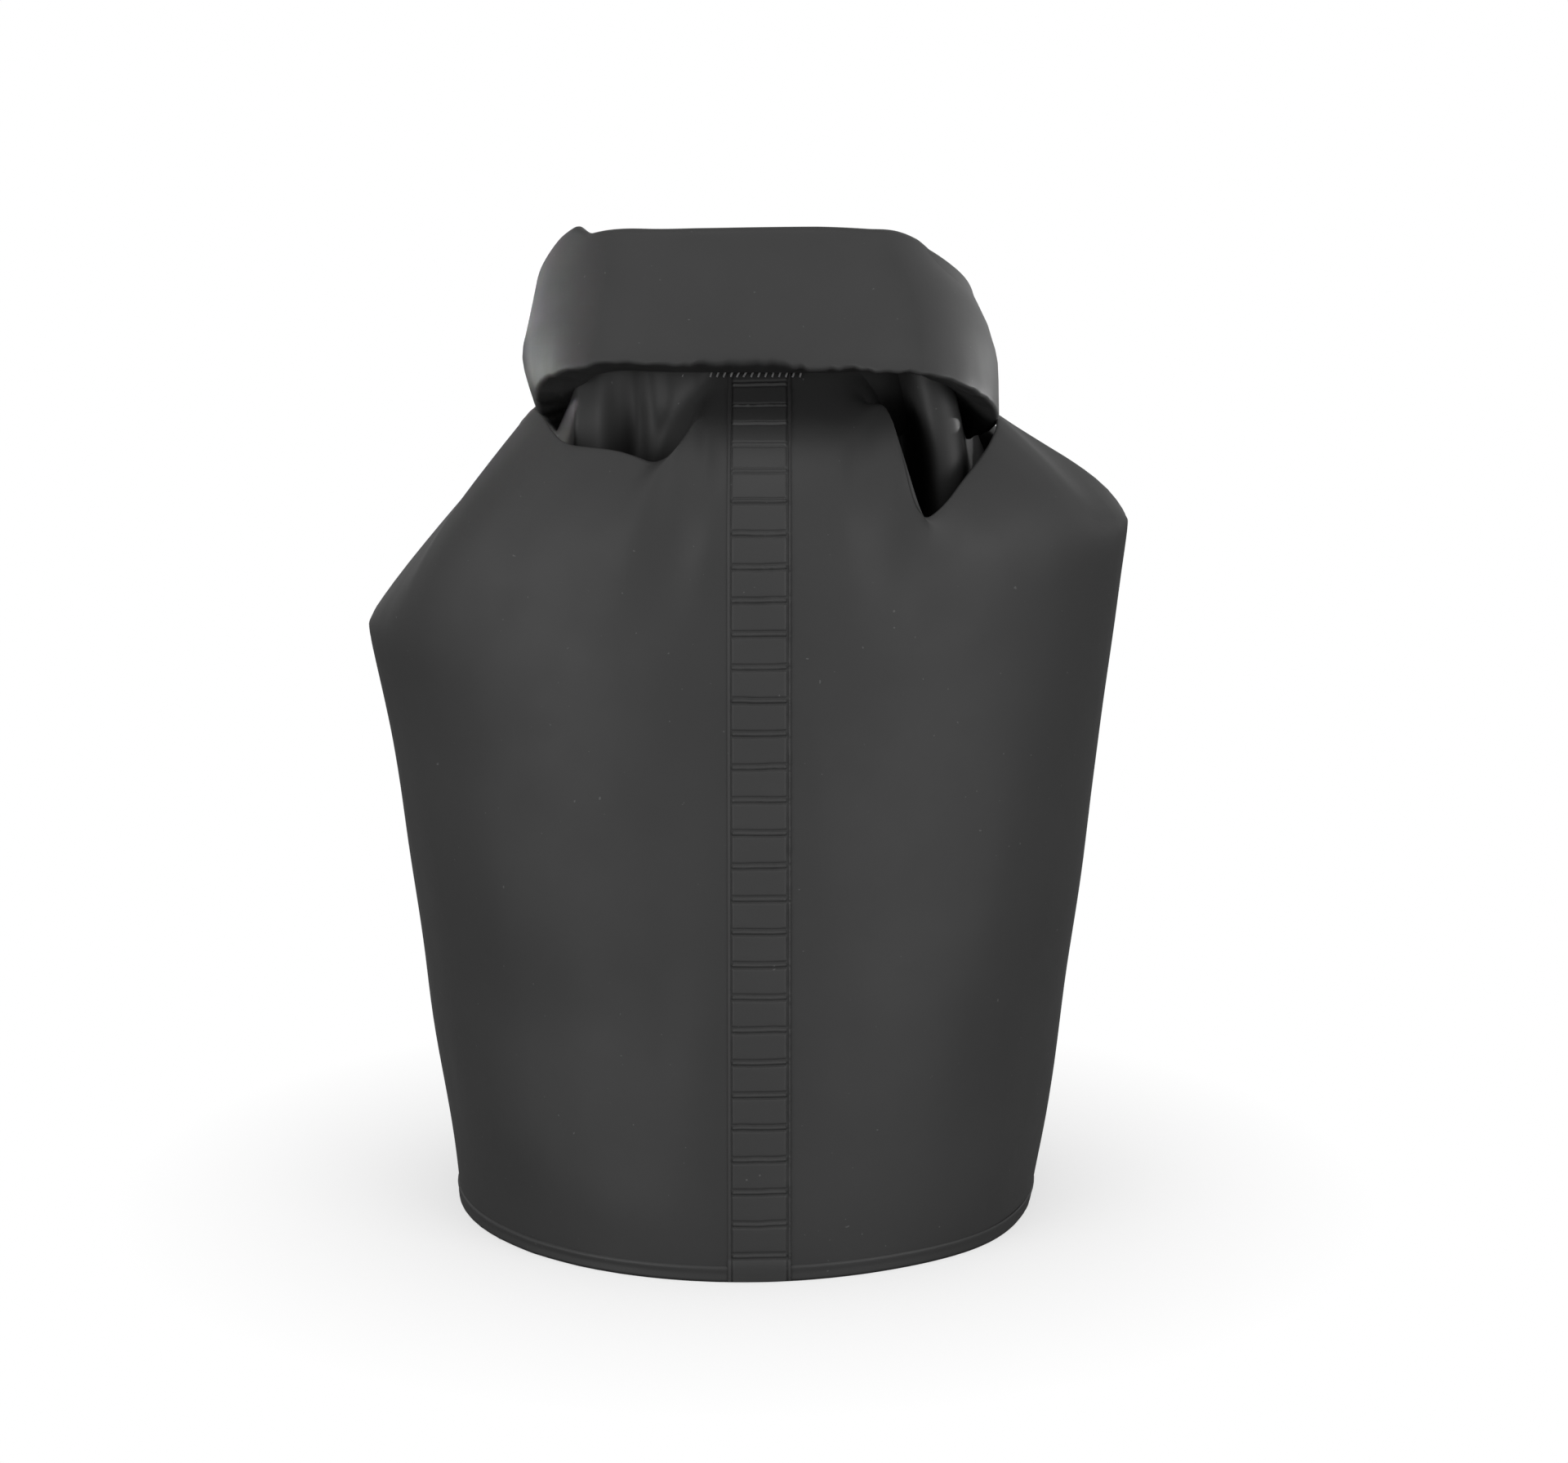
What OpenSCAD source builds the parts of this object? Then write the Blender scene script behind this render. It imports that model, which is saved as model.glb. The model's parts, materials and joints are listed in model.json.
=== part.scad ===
// Roll-top dry bag: a round-based tube of coated fabric whose mouth is flattened, rolled over two
// stiffeners and bent backwards into a loop, which a side-release buckle closes.
// Frame: origin at the centre of the base's underside, +Z up, the ladder-welded seam faces -Y.

/* [Bag] */
// Diameter of the round base
base_d = 200; // [196:1:204]
// Half the width across the two shoulder corners
shoulder_half_w = 129; // [126:1:132]
// Height of the shoulder ring at the middle of the bag
shoulder_z = 220; // [216:1:224]
// How much higher the right shoulder corner stands than the middle, and the left one lower
shoulder_lean = 18; // [0:1:20]
// Thickness of the coated fabric
sheet = 0.6; // [0.5:0.1:0.8]

/* [Seam] */
// Distance of the seam's centre line from the bag's middle
seam_x = 5; // [0:1:10]
// Width of the overlap seam
seam_w = 20; // [18:1:24]
// Distance between two weld bars of the ladder
rung_pitch = 10.7; // [10:0.1:13]

/* [Closure loop] */
// Height of the rolled strip at its middle
roll_h = 50; // [48:1:52]
// Height of the rolled strip at its ends
roll_end_h = 38; // [34:1:42]
// Thickness of the rolled strip
roll_t = 20; // [19:1:21]
// Half the length of the straight middle of the loop
loop_flat = 38; // [37:1:40]
// Bend radius of the loop's two corners
loop_r = 30; // [29:1:31]
// Angle through which each corner turns
loop_turn = 112; // [110:1:114]
// Length of each straight arm after its corner
loop_arm = 46; // [45:1:47]
// Angle by which the strip's top edge leans inwards at the corners
corner_lean = 16; // [10:1:18]
// Angle by which the loop droops towards the back
loop_droop = 31; // [29:1:32]

/* [Buckle] */
// Width of the webbing
web_w = 20; // [19:0.5:20]
// Thickness of the webbing
web_t = 1.4; // [1.2:0.1:1.5]
// Thickness of the buckle's housing
buckle_t = 9; // [8.5:0.5:10]

/* [Hidden] */

// --- colours ---
fabric_grey = [0.20, 0.20, 0.205];
weld_grey = [0.17, 0.17, 0.175];
webbing_black = [0.07, 0.07, 0.075];
plastic_black = [0.05, 0.05, 0.055];
stiffener_white = [0.75, 0.75, 0.72];
thread_grey = [0.30, 0.30, 0.30];
steel = [0.62, 0.63, 0.64];

// --- side wall stations: [height, half width, half depth, centre y, lean] from the base up ---
base_r = base_d / 2;
foot_h = 8;
wall_stations = [
    [0, base_r, base_r, 0, 0],
    [foot_h, base_r, base_r, 0, 0],
    [0.5 * shoulder_z, 0.38 * shoulder_half_w + 0.62 * base_r, 0.88 * base_r, -4, 0.2 * shoulder_lean],
    [0.78 * shoulder_z, 0.76 * shoulder_half_w + 0.24 * base_r, 0.77 * base_r, -9, 0.6 * shoulder_lean],
    [shoulder_z, shoulder_half_w, 0.66 * base_r, -14, shoulder_lean],
    [shoulder_z + 14, 0.92 * shoulder_half_w, 0.60 * base_r, -19, 0.8 * shoulder_lean],
    [shoulder_z + 31, 0.77 * shoulder_half_w, 0.48 * base_r, -26, 0.4 * shoulder_lean],
    [shoulder_z + 44, 0.66 * shoulder_half_w, 0.30 * base_r, -36, 0.1 * shoulder_lean]
];
wall_segments = 48;
seam_gap = 0.3;          // keeps the flat-sided seam clear of the flat-sided wall
seam_segments = 4;
seam_foot = 6;           // length of wall below the seam's lower end

// --- closure loop ---
loop_x = seam_x;         // the loop is centred over the seam
loop_y = -38;            // y of the strip's middle at the front of the loop
loop_z = shoulder_z + 94;
neck_len = 6;            // upright collar just below the strip
neck_gap = 1;
neck_half_t = 3;
neck_reach = 84;         // distance along the loop to which the collar follows the strip
wrap_layers = 4;
wrap_wall = wrap_layers * sheet;
corner_steps = 10;
hem_h = 29;
hem_t = 3.2;
hem_gap = web_t / 2 + 0.4;   // from the loop's mid-surface to each hem
stiffener_h = 26;
stiffener_t = 1.6;
tab_root = 24;           // length of tab held between the hems
tab_out = 3;             // straight length of tab between the roll's end and its bend
tab_bend_r = 8;

// --- buckle, in its own frame: +X from plug to socket, +Y outwards, +Z across the webbing ---
bar_r = 1.8;
plug_bar_x = -13.5;
socket_bar_x = 26;
buckle_shift = -(plug_bar_x + socket_bar_x) / 2;
frame_w = 27;
housing_x = [-2, 20];
channel_half_w = 11;
channel_t = 4.8;
window_x = [6, 15.5];
knuckle = [-4.4, 7.2];   // x and z of a prong's pivot
knuckle_r = 1.95;
knuckle_clearance = 0.08;
prong_t = 4.2;
web_loop_gap = 0.3;      // between the bar and the webbing round it

// --- D-ring ---
ring_wire_r = 1.5;
ring_half_w = 11.5;
ring_x = 30.6;           // from the middle of the closed buckle
ring_rest_angle = 62;
ring_gap = 0.08;         // running clearance round the ring's bar

tiny = 0.01;

// ---------------------------------------------------------------- skins

// Faces of the strip of quads between rings of n points; flip turns them inside out.
function side_faces(rings, n, first, flip) = [
    for (i = [0 : rings - 2], k = [0 : n - 1], half = [0, 1])
        let (
            a = first + i * n + k,
            b = first + i * n + (k + 1) % n,
            c = b + n,
            d = a + n,
            face = half == 0 ? [a, c, b] : [a, d, c]
        )
        flip ? [face[2], face[1], face[0]] : face
];

// Faces of the flat ring between an outer and an inner ring of n points.
function rim_faces(n, outer, inner, flip) = [
    for (k = [0 : n - 1], half = [0, 1])
        let (
            a = outer + k,
            b = outer + (k + 1) % n,
            c = inner + (k + 1) % n,
            d = inner + k,
            face = half == 0 ? [a, b, c] : [a, c, d]
        )
        flip ? [face[2], face[1], face[0]] : face
];

// Solid through a list of rings, closed by a cap at each end.
module skin(rings) {
    n = len(rings[0]);
    last = (len(rings) - 1) * n;
    polyhedron(
        points = [for (ring = rings, p = ring) p],
        faces = concat(
            side_faces(len(rings), n, 0, false),
            [[for (k = [0 : n - 1]) k]],
            [[for (k = [n - 1 : -1 : 0]) last + k]]
        ),
        convexity = 6
    );
}

// Open-ended sleeve between two matching lists of rings.
module sleeve(outer, inner) {
    n = len(outer[0]);
    count = len(outer);
    half = count * n;
    last = half - n;
    polyhedron(
        points = concat([for (ring = outer, p = ring) p], [for (ring = inner, p = ring) p]),
        faces = concat(
            side_faces(count, n, 0, false),
            side_faces(count, n, half, true),
            rim_faces(n, 0, half, false),
            rim_faces(n, last, half + last, true)
        ),
        convexity = 10
    );
}

// ---------------------------------------------------------------- side wall

// Point of the side wall at a station; angle 0 faces -Y and 90 faces +X.
function wall_point(s, angle, inset) =
    let (x = (s[1] - inset) * sin(angle))
    [x, s[3] - (s[2] - inset) * cos(angle), s[0] + s[4] * x / s[1]];

function wall_ring(s, inset) = [
    for (k = [0 : wall_segments - 1]) wall_point(s, 360 * k / wall_segments, inset)
];

// The flattened mouth: out along the front of the strip's lower edge and back along its rear.
function neck_ring(drop, inset) = [
    for (k = [0 : wall_segments - 1])
        let (
            angle = 360 * k / wall_segments,
            along = angle <= 90 ? neck_reach * angle / 90
                : angle <= 270 ? neck_reach * (180 - angle) / 90
                : neck_reach * (angle - 360) / 90,
            out = (neck_half_t - inset) * cos(angle),
            s = along * (1 - inset / neck_reach)
        )
        bag_point(loop_point(s, [out, -strip_h(along) / 2 - drop]))
];

module body_tube() {
    color(fabric_grey)
    sleeve(body_rings(0), body_rings(sheet));
}

function body_rings(inset) = concat(
    [for (s = wall_stations) wall_ring(s, inset)],
    [neck_ring(neck_gap + neck_len, inset), neck_ring(neck_gap, inset)]
);

module base_panel() {
    flange_r = base_r - sheet - 0.5;
    color(fabric_grey) {
        cylinder(r = flange_r, h = sheet, $fn = 96);
        difference() {
            cylinder(r = flange_r, h = foot_h, $fn = 96);
            translate([0, 0, -tiny]) cylinder(r = flange_r - sheet, h = foot_h + 1, $fn = 96);
        }
    }
}

module base_weld_band() {
    band_r = base_r + 0.1;
    color(weld_grey)
    difference() {
        cylinder(r = band_r + sheet, h = 5, $fn = 96);
        translate([0, 0, -1]) cylinder(r = band_r, h = 7, $fn = 96);
    }
}

// Points up the front of the wall at one x, from the base to the foot of the collar.
function front_points(x) = concat(
    [for (s = wall_stations) wall_point(s, asin(x / s[1]), 0)],
    [bag_point([x - loop_x, -neck_half_t, -roll_h / 2 - neck_gap - neck_len])]
);

// Point of the front at one x, at a distance up the wall measured along the seam's centre line.
seam_guide = front_points(seam_x);
function front_at(x, up, i = 0) =
    let (piece = norm(seam_guide[i + 1] - seam_guide[i]))
    up > piece && i < len(seam_guide) - 2
        ? front_at(x, up - piece, i + 1)
        : let (p = front_points(x), t = up / piece)
          (1 - t) * p[i] + t * p[i + 1];

function guide_len(i = 0) =
    i == len(seam_guide) - 1 ? 0 : norm(seam_guide[i + 1] - seam_guide[i]) + guide_len(i + 1);

// One cross-section of the seam strip: its inner edge points, then its outer ones backwards.
function seam_ring(up, thickness) =
    let (
        steps = [for (k = [-seam_segments : 2 : seam_segments]) seam_x + k / seam_segments * seam_w / 2],
        inner = [for (x = steps) front_at(x, up) - [0, seam_gap, 0]]
    )
    concat(inner, [for (k = [seam_segments : -1 : 0]) inner[k] - [0, thickness, 0]]);

module seam_strip() {
    bead_t = sheet + 0.35;
    bead_half = 0.8;
    first_rung = 3;
    seam_len = guide_len() - seam_foot - 1;
    rungs = floor((seam_len - 2 * first_rung) / rung_pitch);
    rows = concat(
        [[0, sheet]],
        [for (k = [0 : rungs], step = [-2, -1, 1, 2])
            [first_rung + k * rung_pitch + step * bead_half / 2, abs(step) == 2 ? sheet : bead_t]],
        [[seam_len, sheet]]
    );
    color(weld_grey) skin([for (r = rows) seam_ring(seam_foot + r[0], r[1])]);
}

// ---------------------------------------------------------------- closure loop

// Moves a child from the loop's own frame, [x, backwards, up the strip], to the bag's frame.
module in_loop() {
    translate([loop_x, loop_y, loop_z]) rotate([-loop_droop, 0, 0]) children();
}

// The same move for one point.
function bag_point(p) = [
    loop_x + p[0],
    loop_y + p[1] * cos(loop_droop) + p[2] * sin(loop_droop),
    loop_z - p[1] * sin(loop_droop) + p[2] * cos(loop_droop)
];

// Place on the right half of the loop at distance s from its middle: [x, backwards, turned angle].
corner_len = loop_r * loop_turn * PI / 180;
half_len = loop_flat + corner_len + loop_arm;
function right_pose(s) =
    s <= loop_flat ? [s, 0, 0]
    : s <= loop_flat + corner_len
        ? let (a = (s - loop_flat) / loop_r * 180 / PI)
          [loop_flat + loop_r * sin(a), loop_r * (1 - cos(a)), a]
    : let (e = s - loop_flat - corner_len)
      [loop_flat + loop_r * sin(loop_turn) + e * cos(loop_turn),
       loop_r * (1 - cos(loop_turn)) + e * sin(loop_turn), loop_turn];

function loop_pose(s) =
    let (p = right_pose(abs(s)))
    s < 0 ? [-p[0], p[1], -p[2]] : p;

// Height of the rolled strip at distance s.
function strip_h(s) = roll_h + (roll_end_h - roll_h) * pow(abs(s) / half_len, 2);

// Distances of the loop's stations, from its left end to its right one.
right_stations = concat(
    [loop_flat / 2],
    [for (k = [0 : corner_steps]) loop_flat + corner_len * k / corner_steps],
    [half_len - tab_root - 4, half_len]
);
loop_stations = concat(
    [for (k = [len(right_stations) - 1 : -1 : 0]) -right_stations[k]], [0], right_stations
);

// How far the strip's top edge leans inwards at distance s; none where the tabs are held.
function lean_at(s) =
    let (
        from = loop_flat / 2,
        to = half_len - tab_root - 4,
        t = max(0, min(1, (abs(s) - from) / (to - from)))
    )
    corner_lean * pow(sin(180 * t), 1.5);

// Point of the loop at distance s, offset by q = [outwards, up] from the strip's mid-line.
function loop_point(s, q) =
    let (
        p = loop_pose(s),
        lean = lean_at(s),
        out = q[0] * cos(lean) - q[1] * sin(lean)
    )
    [p[0] + out * sin(p[2]), p[1] - out * cos(p[2]), q[1] * cos(lean) + q[0] * sin(lean)];

// A section of [outwards, up] points, set square to the loop at distance s.
function loop_ring(s, section) = [for (q = section) loop_point(s, q)];

// Rounded upright section: two half-round ends joined by straight sides.
function rounded_section(t, h, steps = 4) =
    let (r = t / 2)
    concat(
        [for (k = [0 : steps]) let (a = 180 * k / steps) [r * cos(a), h / 2 - r + r * sin(a)]],
        [for (k = [0 : steps]) let (a = 180 + 180 * k / steps) [r * cos(a), r - h / 2 + r * sin(a)]]
    );

function flat_section(centre, t, h) = [
    [centre + t / 2, -h / 2], [centre + t / 2, h / 2], [centre - t / 2, h / 2], [centre - t / 2, -h / 2]
];

module roll_wrap() {
    color(fabric_grey) in_loop()
    sleeve(
        [for (s = loop_stations) loop_ring(s, rounded_section(roll_t, strip_h(s)))],
        [for (s = loop_stations)
            loop_ring(s, rounded_section(roll_t - 2 * wrap_wall, strip_h(s) - 2 * wrap_wall))]
    );
}

// Folded edge of one side of the mouth; side is 1 for the outer hem and -1 for the inner one.
module hem_sleeve(side) {
    centre = side * (hem_gap + hem_t / 2);
    color(fabric_grey) in_loop()
    sleeve(
        [for (s = loop_stations) loop_ring(s, flat_section(centre, hem_t, hem_h))],
        [for (s = loop_stations) loop_ring(s, flat_section(centre, hem_t - 2 * sheet, hem_h - 2 * sheet))]
    );
}

module front_hem_sleeve() hem_sleeve(1);
module back_hem_sleeve() hem_sleeve(-1);

module stiffener(side) {
    centre = side * (hem_gap + hem_t / 2);
    color(stiffener_white) in_loop()
    skin([for (s = loop_stations) loop_ring(s, flat_section(centre, stiffener_t, stiffener_h))]);
}

module front_stiffener() stiffener(1);
module back_stiffener() stiffener(-1);

// Slanted stitches across the front of the collar, just below the middle of the strip.
module collar_stitching() {
    stitches = 17;
    pitch = 2.2;
    thread_r = 0.35;
    gap = 0.1;
    drop = neck_gap + neck_len / 2;
    color(thread_grey) in_loop()
    for (k = [0 : stitches - 1])
        translate(loop_point((k - (stitches - 1) / 2) * pitch - seam_x,
            [neck_half_t + thread_r + gap, -roll_h / 2 - drop]))
        rotate([0, 30, 0]) cylinder(r = thread_r, h = 2.4, center = true, $fn = 16);
}

// ---------------------------------------------------------------- webbing tabs

// Where the tab's bend starts and ends, [x, backwards], on the right side.
arm_end = right_pose(half_len);
bend_start = [arm_end[0] + tab_out * cos(loop_turn), arm_end[1] + tab_out * sin(loop_turn)];
bend_centre = [bend_start[0] - tab_bend_r * sin(loop_turn), bend_start[1] + tab_bend_r * cos(loop_turn)];
chord_y = bend_centre[1] + tab_bend_r;             // mid-line of the straight webbing
web_ring_r = bar_r + web_loop_gap + web_t / 2;     // mid-line radius of the webbing round a bar
bar_y = chord_y - web_ring_r;
tail_rise = 2 * web_ring_r - web_t - 0.3;   // from the far side of a loop to the stitched tail

// Flat outline of a ring of webbing between two angles.
module arc_band(r, from, to) {
    reach = 2 * r;
    intersection() {
        difference() {
            circle(r = r + web_t / 2, $fn = 48);
            circle(r = r - web_t / 2, $fn = 48);
        }
        polygon([[0, 0], for (k = [0 : 4]) let (a = from + (to - from) * k / 4)
            [reach * cos(a), reach * sin(a)]]);
    }
}

// Flat outline of the right tab: root between the hems, bend, straight leg, loop round the bar, tail.
module tab_outline(bar_x) {
    leg = bend_centre[0] - bar_x;
    tail = 9;
    translate(bend_start) rotate(loop_turn)
    translate([-tab_root - tab_out, -web_t / 2]) square([tab_root + tab_out + tiny, web_t]);
    translate(bend_centre) arc_band(tab_bend_r, loop_turn - 90, 90);
    translate([bar_x - tiny, chord_y - web_t / 2]) square([leg + 2 * tiny, web_t]);
    translate([bar_x, bar_y]) {
        arc_band(web_ring_r, 90, 180);
        arc_band(web_ring_r, 180, 270);
        // the tail rises to lie against the straight leg, where it is stitched
        translate([-tiny, -web_ring_r])
        polygon([[0, -web_t / 2], [2, -web_t / 2], [6, tail_rise - web_t / 2], [6 + tail, tail_rise - web_t / 2],
            [6 + tail, tail_rise + web_t / 2], [5.4, tail_rise + web_t / 2], [1.4, web_t / 2], [0, web_t / 2]]);
    }
}

module tab(bar_x) {
    color(webbing_black) translate([0, 0, -web_w / 2]) linear_extrude(web_w) tab_outline(bar_x);
}

module tab_right() in_loop() tab(socket_bar_x + buckle_shift);
module tab_left() in_loop() mirror([1, 0, 0]) tab(-plug_bar_x - buckle_shift);

// Rows of stitches that hold a tab's tail to its leg, showing on the tail's inner face.
module tail_stitching(bar_x) {
    stitch = [7, 0.3, 0.6];
    tail_face = bar_y - web_ring_r + tail_rise - web_t / 2;
    for (row = [-1, 0, 1])
        color(thread_grey) in_loop()
        translate([bar_x + sign(bar_x) * 10.5, tail_face - stitch[1] / 2 - tiny, row * web_w * 0.36])
        cube(stitch, center = true);
}

module tab_left_stitching() tail_stitching(plug_bar_x + buckle_shift);
module tab_right_stitching() tail_stitching(socket_bar_x + buckle_shift);

// ---------------------------------------------------------------- buckle

module in_buckle() {
    in_loop() translate([buckle_shift, bar_y, 0]) children();
}

// Plate with four rounded corners in the X-Z plane, centred on y = 0.
module rounded_plate(x, w, t, r) {
    rotate([90, 0, 0]) translate([0, 0, -t / 2]) linear_extrude(t) {
        translate([x[0] + r, -w / 2]) square([x[1] - x[0] - 2 * r, w]);
        translate([x[0], -w / 2 + r]) square([x[1] - x[0], w - 2 * r]);
        for (cx = [x[0] + r, x[1] - r], cz = [-w / 2 + r, w / 2 - r])
            translate([cx, cz]) circle(r = r, $fn = 32);
    }
}

// Opening through a plate, from x[0] to x[1] and from -half_w to half_w.
module opening(x, half_w, t) {
    translate([x[0], -t / 2, -half_w]) cube([x[1] - x[0], t, 2 * half_w]);
}

module bar(x) {
    translate([x, 0, 0]) cylinder(r = bar_r, h = frame_w - 2, center = true, $fn = 40);
}

module buckle_socket() {
    frame_t = 5;
    slot = [housing_x[1] + 1, socket_bar_x + 1];
    color(plastic_black) in_buckle() {
        difference() {
            union() {
                rounded_plate(housing_x, frame_w, buckle_t, 3);
                rounded_plate([housing_x[1] - 4, socket_bar_x + bar_r], frame_w, frame_t, 1.5);
            }
            opening([housing_x[0] - 1, housing_x[1] - 3], channel_half_w, channel_t);
            for (side = [-1, 1])
                translate([window_x[0], -channel_t / 2, side > 0 ? channel_half_w - 1.5 : -frame_w])
                cube([window_x[1] - window_x[0], channel_t, frame_w - channel_half_w + 1.5]);
            opening([slot[0], slot[1] + bar_r], web_w / 2 + 0.6, 2 * frame_t);
            // finger scoops over the windows
            for (side = [-1, 1])
                translate([(window_x[0] + window_x[1]) / 2, 0, side * (frame_w / 2 + 2.5)])
                rotate([90, 0, 0]) cylinder(r = 4.6, h = buckle_t + 2, center = true, $fn = 48);
        }
        bar(socket_bar_x);
    }
}

module buckle_plug() {
    block_t = 6.4;
    block_x = [-7, housing_x[0] - 0.3];
    color(plastic_black) in_buckle() {
        difference() {
            union() {
                rounded_plate(block_x, frame_w, block_t, 1);
                rounded_plate([plug_bar_x - bar_r, block_x[0] + 2], frame_w, 5, 1.5);
                translate([block_x[1] - 1, -1.8, -1.6]) cube([18, 3.6, 3.2]);
            }
            opening([plug_bar_x - bar_r - 1, block_x[0]], web_w / 2 + 0.6, 2 * block_t);
            for (side = [-1, 1]) {
                translate([knuckle[0], 0, side * knuckle[1]]) rotate([90, 0, 0])
                cylinder(r = knuckle_r + knuckle_clearance, h = block_t + 1, center = true, $fn = 48);
                // mouth of each seat, wide enough for the prong's swing
                translate([knuckle[0], -block_t, side * knuckle[1] - 1.75]) cube([4, 2 * block_t, 3.5]);
            }
        }
        bar(plug_bar_x);
    }
}

// Springy arm with a barb; its root turns in the plug's seat.
module prong() {
    tip_x = 17;
    shoulder = window_x[0] + 0.6;
    color(plastic_black)
    translate([0, prong_t / 2, 0]) rotate([90, 0, 0]) linear_extrude(prong_t) {
        translate(knuckle) circle(r = knuckle_r, $fn = 48);
        polygon([
            [knuckle[0], knuckle[1] - 1.1], [shoulder, 6.9], [tip_x - 1, 7.4], [tip_x, 8.6],
            [tip_x - 1.2, 9.9], [12.5, 14], [9, 13.9], [shoulder, 12.6], [shoulder, 9.3],
            [knuckle[0], knuckle[1] + 1.1]
        ]);
    }
}

module prong_upper() in_buckle() prong();
module prong_lower() in_buckle() mirror([0, 0, 1]) prong();

// ---------------------------------------------------------------- D-ring

// The ring's pivot: its straight bar stands across the webbing, on the outer face of the right tab.
module in_ring() {
    in_loop() translate([ring_x, chord_y + web_t / 2 + ring_wire_r + ring_gap, 0]) children();
}

module d_ring() {
    bow_r = ring_half_w;
    color(steel) in_ring() rotate([0, 0, 90 - ring_rest_angle]) {
        cylinder(r = ring_wire_r, h = 2 * ring_half_w, center = true, $fn = 32);
        for (side = [-1, 1]) translate([0, 0, side * ring_half_w]) {
            sphere(r = ring_wire_r, $fn = 32);
            rotate([0, 90, 0]) cylinder(r = ring_wire_r, h = 5, $fn = 32);
        }
        translate([5, 0, 0]) rotate([90, 0, 0]) rotate(-90) rotate_extrude(angle = 180, $fn = 64)
        translate([bow_r, 0]) circle(r = ring_wire_r, $fn = 32);
    }
}

// Short strip of webbing laid over the ring's bar and sewn down on both sides of it.
module ring_keeper() {
    r = ring_wire_r + ring_gap + web_t / 2;
    foot = 4;
    keeper_w = 15;
    bar_h = ring_wire_r + ring_gap;
    color(webbing_black) in_ring() translate([0, 0, -keeper_w / 2]) linear_extrude(keeper_w) {
        arc_band(r, 0, 90);
        arc_band(r, 90, 180);
        for (side = [-1, 1]) {
            translate([side * r - web_t / 2, -bar_h + 0.05]) square([web_t, bar_h]);
            translate([side > 0 ? r - web_t / 2 : -r + web_t / 2 - foot, -bar_h + 0.05])
            square([foot, web_t]);
        }
    }
}

module ring_keeper_stitching() {
    color(thread_grey) for (side = [-1, 1], row = [-1, 1]) in_ring()
    translate([side * 4.3, -ring_wire_r - ring_gap + 0.05 + web_t + 0.15 + tiny, row * 4.5])
    cube([2.4, 0.3, 0.6], center = true);
}

// ---------------------------------------------------------------- nodes

body_tube();
base_panel();
base_weld_band();
seam_strip();
roll_wrap();
front_hem_sleeve();
back_hem_sleeve();
front_stiffener();
back_stiffener();
collar_stitching();
tab_left();
tab_right();
tab_left_stitching();
tab_right_stitching();
buckle_socket();
buckle_plug();
prong_upper();
prong_lower();
ring_keeper();
ring_keeper_stitching();
d_ring();
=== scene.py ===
"""Looks of a closed roll-top dry bag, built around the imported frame.

Lengths are in millimetres unless a name ends in _m, and turn into metres when a mesh is made. Angle 0 of
the body faces the seam (-Y), and 90 is the right-hand side (+X). The closure loop has its own frame:
distance s along the strip from its middle, "out" away from the loop's centre and "up" across the strip.
"""
import json
import math

import bpy
import numpy as np
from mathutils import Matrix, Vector


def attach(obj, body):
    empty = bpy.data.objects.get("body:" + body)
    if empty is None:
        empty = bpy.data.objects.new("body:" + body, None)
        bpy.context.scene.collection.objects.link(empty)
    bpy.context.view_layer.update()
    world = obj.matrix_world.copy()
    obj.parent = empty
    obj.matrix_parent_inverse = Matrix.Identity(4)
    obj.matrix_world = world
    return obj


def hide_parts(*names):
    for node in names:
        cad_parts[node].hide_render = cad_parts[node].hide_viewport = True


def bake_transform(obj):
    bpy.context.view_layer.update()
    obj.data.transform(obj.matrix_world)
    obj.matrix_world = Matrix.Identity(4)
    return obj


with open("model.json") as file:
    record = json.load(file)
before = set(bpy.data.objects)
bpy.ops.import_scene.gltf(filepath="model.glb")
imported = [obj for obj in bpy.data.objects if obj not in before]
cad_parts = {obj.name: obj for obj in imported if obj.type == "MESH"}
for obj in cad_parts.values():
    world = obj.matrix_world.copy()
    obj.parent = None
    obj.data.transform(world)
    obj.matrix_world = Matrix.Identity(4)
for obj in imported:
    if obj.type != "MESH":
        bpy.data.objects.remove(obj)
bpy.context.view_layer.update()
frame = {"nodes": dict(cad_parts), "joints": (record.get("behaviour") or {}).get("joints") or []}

MM = 0.001
SEAM_MIDDLE = 5.65  # x of the seam's centre line


# ---------------- helpers


def signed(angle):
    """The same angle in degrees, between -180 and 180."""
    return angle - 360 if angle > 180 else angle


def smooth(x, lo, hi):
    """0 below lo, 1 above hi, and a smooth turn between."""
    t = np.clip((np.asarray(x, float) - lo) / (hi - lo), 0, 1)
    return t * t * (3 - 2 * t)


def bump(x, centre, width):
    """Bell of height 1 round centre."""
    return np.exp(-(((np.asarray(x, float) - centre) / width) ** 2))


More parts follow.
